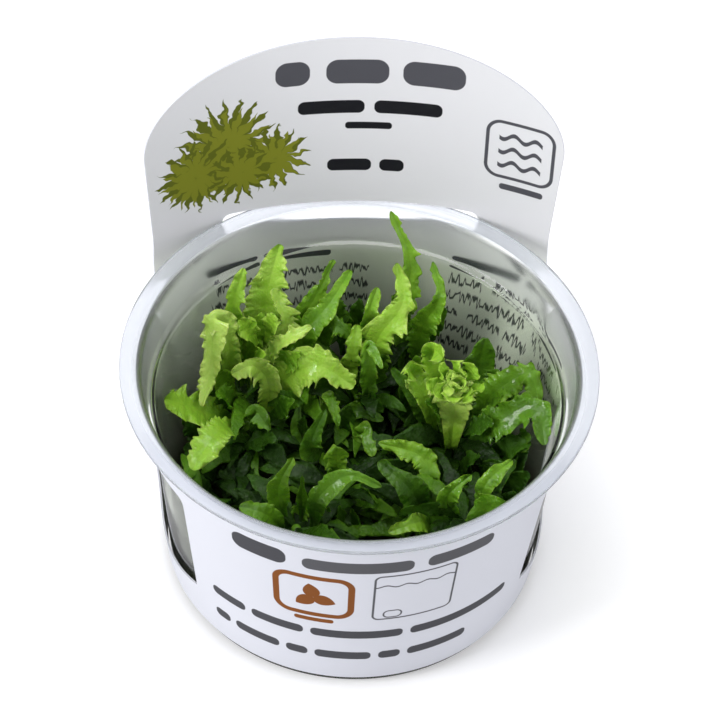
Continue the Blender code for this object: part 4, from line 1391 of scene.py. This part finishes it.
@dataclass
class Marks:
    """Printed marks in millimetres of the flat card, laid one over another on its white.

    A mark is a distance worked out per point, inked where it is below zero.
    """

    finish: Finish
    sleeve: Sleeve
    colour: Socket | Colour
    wrap: float = -90.0
    point: Socket | None = None
    swayed: Socket | None = None
    edge: float = 0.07
    pitch: float = 4.2

    def __post_init__(self) -> None:
        """Finds where on the flat card each point is, from its own chart, run on over the seam."""
        chart = self.finish.add("ShaderNodeUVMap", {}, uv_map="card").outputs[0]
        sheet = self.sleeve.sheet
        scaled = self.finish.vector("MULTIPLY", chart, (sheet, sheet, 0.0)).outputs[0]
        on_sheet = self.finish.vector("ADD", scaled, (self.sleeve.seam, 0.0, 0.0)).outputs[0]
        x, y, _ = self.finish.parts(on_sheet)
        low = self.finish.math("LESS_THAN", x, self.wrap)
        turn = self.finish.math("MULTIPLY", low, self.sleeve.girth())
        self.point = self.placed_at(self.finish.math("ADD", x, turn), y)
        inputs = {"Vector": self.point, "Scale": 0.45, "Detail": 1.0}
        noise = self.finish.add("ShaderNodeTexNoise", inputs).outputs["Color"]
        sway = self.finish.vector("MULTIPLY", noise, (3.0, 3.0, 0.0)).outputs[0]
        self.swayed = self.finish.vector("ADD", self.point, sway).outputs[0]

    def placed_at(self, x: Socket, y: Socket) -> Socket:
        """The vector (x, y, 0)."""
        return self.finish.add("ShaderNodeCombineXYZ", {0: x, 1: y}).outputs[0]

    def ink(self, distance: Socket, colour: Colour) -> None:
        """Lays a colour where the distance is below zero."""
        amount = self.finish.between(distance, self.edge, -self.edge, 0.0, 1.0)
        self.colour = self.finish.mix(amount, self.colour, colour)

    def box(self, left: float, right: float, low: float, high: float, corner: float) -> Socket:
        """Distance to a rounded box: the length of what is left of |p - c| past its straight part."""
        inner = ((right - left) / 2 - corner, (high - low) / 2 - corner, 0.0)
        apart = self.finish.vector("SUBTRACT", self.point, ((left + right) / 2, (low + high) / 2, 0.0))
        size = self.finish.vector("ABSOLUTE", apart.outputs[0])
        past = self.finish.vector("SUBTRACT", size.outputs[0], inner)
        held = self.finish.vector("MAXIMUM", past.outputs[0])
        length = self.finish.vector("LENGTH", held.outputs[0])
        return self.finish.math("SUBTRACT", length.outputs["Value"], corner)

    def frame(
        self, left: float, right: float, low: float, high: float, corner: float, line: float,
    ) -> Socket:
        """Distance to a line along a rounded box's edge."""
        whole = self.finish.math("ABSOLUTE", self.box(left, right, low, high, corner))
        return self.finish.math("SUBTRACT", whole, line / 2)

    def words(self, spans: Spans, low: float, high: float, colour: Colour) -> None:
        """A row of plain bars with round ends."""
        for left, right in spans:
            self.ink(self.box(left, right, low, high, (high - low) * 0.42), colour)

    def wavy_line(
        self, left: float, right: float, level: float, line: float, rise: float, length: float,
        colour: Colour,
    ) -> None:
        """A level line that sways by a sine of the distance along it."""
        x, y, _ = self.finish.parts(self.point)
        turn = self.finish.math("MULTIPLY", x, 2 * math.pi / length)
        sway = self.finish.math("MULTIPLY_ADD", self.finish.math("SINE", turn), rise)
        sway.node.inputs[2].default_value = level
        off = self.finish.math("ABSOLUTE", self.finish.math("SUBTRACT", y, sway))
        thin = self.finish.math("SUBTRACT", off, line / 2)
        side = self.finish.math("ABSOLUTE", self.finish.math("SUBTRACT", x, (left + right) / 2))
        end = self.finish.math("SUBTRACT", side, (right - left) / 2)
        self.ink(self.finish.math("MAXIMUM", thin, end), colour)

    def rosette(
        self, centre: tuple[float, float], radius: float, petals: int, width: float, colour: Colour,
        swaying: bool = True,
    ) -> None:
        """Pointed leaves round a centre.

        With r and a the polar coordinates, and a folded into one leaf's share of the turn, the
        ink lies where r a is below the leaf's half width, a sine of r.

        Args:
            centre: Its middle on the card.
            radius: Length of its leaves.
            petals: How many leaves go all the way round.
            width: Greatest width of a leaf.
            colour: The ink.
            swaying: Whether its leaves are bent a little by a noise.
        """
        where = self.swayed if swaying else self.point
        apart = self.finish.vector("SUBTRACT", where, (*centre, 0.0)).outputs[0]
        r = self.finish.vector("LENGTH", apart).outputs["Value"]
        x, y, _ = self.finish.parts(apart)
        turn = self.finish.math("ARCTAN2", y, x)
        folded = self.finish.math("PINGPONG", self.finish.math("ADD", turn, 7.0), math.pi / petals)
        part = self.finish.math("MULTIPLY", r, math.pi / radius)
        swell = self.finish.math("SINE", self.finish.math("MINIMUM", part, math.pi))
        side = self.finish.math("MULTIPLY", r, folded)
        half = self.finish.math("MULTIPLY", swell, width / 2)
        past = self.finish.math("SUBTRACT", r, radius)
        self.ink(self.finish.math("MAXIMUM", self.finish.math("SUBTRACT", side, half), past), colour)

    def text_block(self, left: float, right: float, low: float, high: float, colour: Colour) -> None:
        """Rows of a fine waving line in runs, like print too far off to read.

        In each row the line is rise sin(turn x + sway), where sway and rise wander with a noise.
        The runs are where a coarser noise, which changes from row to row, isn't low.

        Args:
            left: The block's left edge on the card.
            right: Its right edge.
            low: Its lower edge.
            high: Its upper edge.
            colour: The ink.
        """
        math_node, pitch = self.finish.math, self.pitch
        x, y, _ = self.finish.parts(self.point)
        level = math_node("DIVIDE", math_node("SUBTRACT", y, low), pitch)
        row = math_node("FLOOR", level)
        off = math_node("MULTIPLY", math_node("SUBTRACT", math_node("FRACT", level), 0.5), pitch)
        inside = self.finish.between(self.box(left, right, low, high, 0.2), self.edge, -self.edge, 0.0, 1.0)
        across = self.placed_at(x, math_node("MULTIPLY", row, 7.7))
        sway = math_node("MULTIPLY", self.finish.noise(0.9, 0.0, across), 9.0)
        turn = 2 * math.pi / (0.36 * pitch)
        phase = math_node("ADD", math_node("MULTIPLY", x, turn), sway)
        wander = self.finish.noise(0.7, 0.0, across)
        rise = self.finish.between(wander, 0.35, 0.65, 0.12 * pitch, 0.27 * pitch)
        wave = math_node("MULTIPLY", math_node("SINE", phase), rise)
        slope = math_node("MULTIPLY", math_node("MULTIPLY", math_node("COSINE", phase), rise), turn)
        steep = math_node("SQRT", math_node("ADD", math_node("MULTIPLY", slope, slope), 1.0))
        gap = math_node("DIVIDE", math_node("ABSOLUTE", math_node("SUBTRACT", off, wave)), steep)
        line = self.finish.between(gap, 0.34, 0.14, 0.0, 1.0)
        runs = self.finish.between(self.finish.noise(0.8 / pitch, 0.0, across), 0.36, 0.38, 0.0, 1.0)
        amount = math_node("MULTIPLY", math_node("MULTIPLY", inside, line), runs)
        self.colour = self.finish.mix(amount, self.colour, colour)


def card_finish(name: str) -> Finish:
    """A new finish with the card's roughness, dull shine and fine grain."""
    finish = Finish(name)
    finish.set(roughness=0.45, specular_ior_level=0.22)
    finish.bump(finish.noise(900.0, 2.0), 0.00004, 0.4)
    return finish


@dataclass(frozen=True)
class CardInside:
    """The side of the card towards the cup, which is also the front of the tall panel. Its white is painted
    lighter where it wraps the cup, as painted light on the shaded inside.
    """

    name: str = "printed_card_inside"
    white: Colour = (0.80, 0.80, 0.83)
    # The wrap's white is lighter than the panel's: painted light, making up for the light that the cup and
    # the plant keep from the inside of the wrap.
    wrap_painted_light_white: Colour = (0.93, 0.94, 0.91)
    title: Colour = (0.085, 0.085, 0.10)
    black: Colour = (0.012, 0.012, 0.016)
    olive: Colour = (0.22, 0.24, 0.02)
    dark_olive: Colour = (0.12, 0.14, 0.012)
    small_print: Colour = (0.10, 0.10, 0.11)
    wrap_top: float = 0.050

    def make(self, sleeve: Sleeve) -> bpy.types.Material:
        """The material."""
        finish = card_finish(self.name)
        height = finish.parts(finish.place())[2]
        # Painted light: below the wrap's top the white turns lighter.
        wrap = finish.between(height, self.wrap_top, self.wrap_top + 0.006, 1.0, 0.0)
        marks = Marks(finish, sleeve, finish.mix(wrap, self.white, self.wrap_painted_light_white))
        marks.words(((-17.0, -9.5), (-6.0, 7.5), (10.5, 24.0)), 90.6, 96.8, self.title)
        marks.words(((-12.0, 2.5), (4.6, 19.4)), 82.8, 86.2, self.black)
        marks.words(((-1.6, 8.6),), 78.6, 80.4, self.black)
        marks.words(((-5.3, 4.4), (6.2, 11.6)), 67.2, 70.4, self.black)
        for centre, radius, petals, width, ink in (
            ((-26.5, 79.5), 12.0, 19, 1.9, self.dark_olive),
            ((-26.0, 78.5), 10.5, 16, 1.7, self.olive),
            ((-16.0, 73.5), 9.0, 15, 1.7, self.dark_olive),
            ((-15.5, 73.0), 7.5, 13, 1.5, self.olive),
            ((-33.0, 73.0), 10.0, 16, 1.8, self.dark_olive),
            ((-33.5, 72.5), 8.5, 14, 1.6, self.olive),
            ((-23.5, 70.5), 8.0, 14, 1.6, self.dark_olive),
            ((-23.0, 71.0), 6.5, 12, 1.5, self.olive),
        ):
            marks.rosette(centre, radius, petals, width, ink)
        marks.ink(marks.frame(29.6, 44.6, 70.2, 84.8, 3.0, 0.8), self.title)
        for level in (73.8, 77.4, 81.0):
            marks.wavy_line(32.2, 42.0, level, 1.1, 0.7, 4.9, self.title)
        marks.words(((33.0, 43.0),), 66.8, 68.4, self.title)
        marks.words(((-34.0, -21.0), (-19.5, -4.0)), 43.4, 45.4, self.title)
        marks.text_block(-34.0, 5.0, 20.5, 41.5, self.small_print)
        marks.words(((24.0, 41.0), (43.0, 66.0)), 44.0, 46.0, self.title)
        marks.text_block(24.0, 68.0, 21.0, 42.0, self.small_print)
        finish.feed("Base Color", marks.colour)
        return finish.material


@dataclass(frozen=True)
class CardOutside:
    """The side of the card away from the cup. Its marks run along the front tab and the panel's back. Its
    white is darker than the inside's, as painted shade.
    """

    name: str = "printed_card_outside"
    # Painted shade: this side's white is darker than the inside's, though the card is one white.
    white: Colour = (0.64, 0.65, 0.71)
    title: Colour = (0.06, 0.06, 0.07)
    brown: Colour = (0.22, 0.062, 0.002)
    grey: Colour = (0.09, 0.09, 0.10)
    faint: Colour = (0.20, 0.20, 0.22)

    def make(self, sleeve: Sleeve) -> bpy.types.Material:
        """The material."""
        finish = card_finish(self.name)
        marks = Marks(finish, sleeve, self.white)
        front = math.pi * sleeve.girth_radius

        def flipped(*spans: tuple[float, float]) -> Spans:
            """Spans to the right of the front's middle, as spans along the girth."""
            return tuple((front - right, front - left) for left, right in spans)

        marks.words(flipped((-30.0, -17.5)), 44.8, 50.2, self.title)
        marks.words(flipped((-14.0, 9.5), (12.5, 28.0)), 45.4, 49.4, self.grey)
        (box,) = flipped((-20.0, -3.3))
        marks.ink(marks.frame(*box, 27.8, 42.2, 3.2, 1.5), self.brown)
        marks.rosette((front + 11.6, 34.6), 5.2, 3, 4.2, self.brown, swaying=False)
        marks.words(flipped((-16.0, -7.0)), 24.9, 26.4, self.brown)
        (tank,) = flipped((1.6, 19.6))
        marks.ink(marks.frame(*tank, 27.0, 44.0, 1.5, 0.5), self.grey)
        marks.wavy_line(tank[0], tank[1], 40.0, 0.45, 0.35, 4.5, self.grey)
        (stone,) = flipped((4.0, 8.0))
        marks.ink(marks.frame(*stone, 27.6, 30.2, 1.2, 0.4), self.grey)
        title = flipped((-38.0, -28.5), (-26.8, -14.0), (-12.3, 9.0), (10.8, 37.0))
        marks.words(title, 19.2, 22.2, self.title)
        subtitle = flipped(
            (-38.0, -33.5), (-31.8, -20.0), (-18.3, -13.0), (-11.3, 2.0), (3.8, 9.0), (10.8, 26.0),
        )
        marks.words(subtitle, 10.4, 13.4, self.title)
        marks.words(((-34.0, -12.0), (-9.0, 8.0), (11.0, 22.0)), 83.2, 86.4, self.faint)
        marks.text_block(-34.0, 34.0, 60.0, 81.0, self.faint)
        finish.feed("Base Color", marks.colour)
        return finish.material


@dataclass
class Studio:
    """A pale floor, soft lights and the camera, in metres."""

    aim: Place = (0.0, 0.0, 0.05835)
    distance: float = 0.5256
    elevation: float = math.radians(48.27)
    roll: float = math.radians(3.0)
    lens: float = 125.0
    floor_size: float = 6.0
    floor_glow: float = 0.24
    sky_strength: float = 0.46

    def floor(self) -> None:
        """A wide plain floor just under the cup, which the plastic and the leaves don't mirror."""
        half = self.floor_size / 2
        corners = np.array([(-half, -half, 0.0), (half, -half, 0.0), (half, half, 0.0), (-half, half, 0.0)])
        mesh = mesh_of("pale_floor", corners, [np.array([[0, 1, 2, 3]])])
        finish = Finish("pale_floor")
        finish.set(base_color=(0.86, 0.86, 0.87, 1.0), roughness=0.9, emission_strength=self.floor_glow)
        finish.set(emission_color=(1.0, 1.0, 1.0, 1.0))
        mesh.materials.append(finish.material)
        floor = bpy.data.objects.new("pale_floor", mesh)
        floor.visible_glossy = False
        bpy.context.scene.collection.objects.link(floor)

    def light(self, name: str, place: Place, size: float, power: float) -> None:
        """A square light that faces the cup."""
        data = bpy.data.lights.new(name, "AREA")
        data.shape = "SQUARE"
        data.size = size
        data.energy = power
        lamp = bpy.data.objects.new(name, data)
        lamp.location = place
        lamp.rotation_euler = (Vector(place) - Vector(self.aim)).to_track_quat("Z", "Y").to_euler()
        bpy.context.scene.collection.objects.link(lamp)

    def camera(self) -> None:
        """The camera, from its elevation, distance and roll."""
        back = Vector((0.0, -math.cos(self.elevation), math.sin(self.elevation)))
        up = Vector((0.0, math.sin(self.elevation), math.cos(self.elevation)))
        level = Matrix((Vector((1.0, 0.0, 0.0)), up, back)).transposed()
        turned = level @ Matrix.Rotation(self.roll, 3, "Z")
        data = bpy.data.cameras.new("view")
        data.lens = self.lens
        data.sensor_width = 36.0
        camera = bpy.data.objects.new("view", data)
        camera.matrix_world = Matrix.Translation(Vector(self.aim) + back * self.distance) @ turned.to_4x4()
        bpy.context.scene.collection.objects.link(camera)
        bpy.context.scene.camera = camera

    def build(self) -> None:
        """Floor, sky, lights and camera."""
        self.floor()
        world = bpy.data.worlds.new("soft_sky")
        world.use_nodes = True
        sky = world.node_tree.nodes["Background"]
        sky.inputs["Color"].default_value = (0.97, 0.98, 1.0, 1.0)
        sky.inputs["Strength"].default_value = self.sky_strength
        bpy.context.scene.world = world
        bpy.context.scene.view_settings.view_transform = "Standard"
        self.light("overhead", (-0.05, 0.0, 0.9), 0.4, 3.2)
        self.light("left", (-0.80, -0.35, 0.48), 0.35, 6.2)
        self.light("right", (0.75, -0.2, 0.55), 0.5, 2.0)
        self.camera()


def main() -> None:
    """Builds the cup, its card, jelly and plant, then the studio."""
    cup = Cup()
    sleeve = Sleeve()
    cup.build(ClearPlastic().make())
    sleeve.build(CardInside().make(sleeve), CardOutside().make(sleeve))
    Jelly().build(ClearJelly().make())
    leaf = LivingLeaf("living_leaf", LEAF_STOPS).make()
    stem = LivingLeaf("young_stem", LEAF_STOPS, gloss=0.4).make()
    Plant().build(leaf, stem)
    lower_leaf = LivingLeaf("lower_leaf", LEAF_STOPS, subsurface=0.15, wet=0.03, shine=0.25)
    Undergrowth(cup).build(lower_leaf.make())
    Roots(cup).build(Root().make())
    Studio().build()
    LOG.info("the cup and its plant are dressed")


if __name__ == "__main__":
    logging.basicConfig(level=logging.INFO, format="%(message)s")
    main()
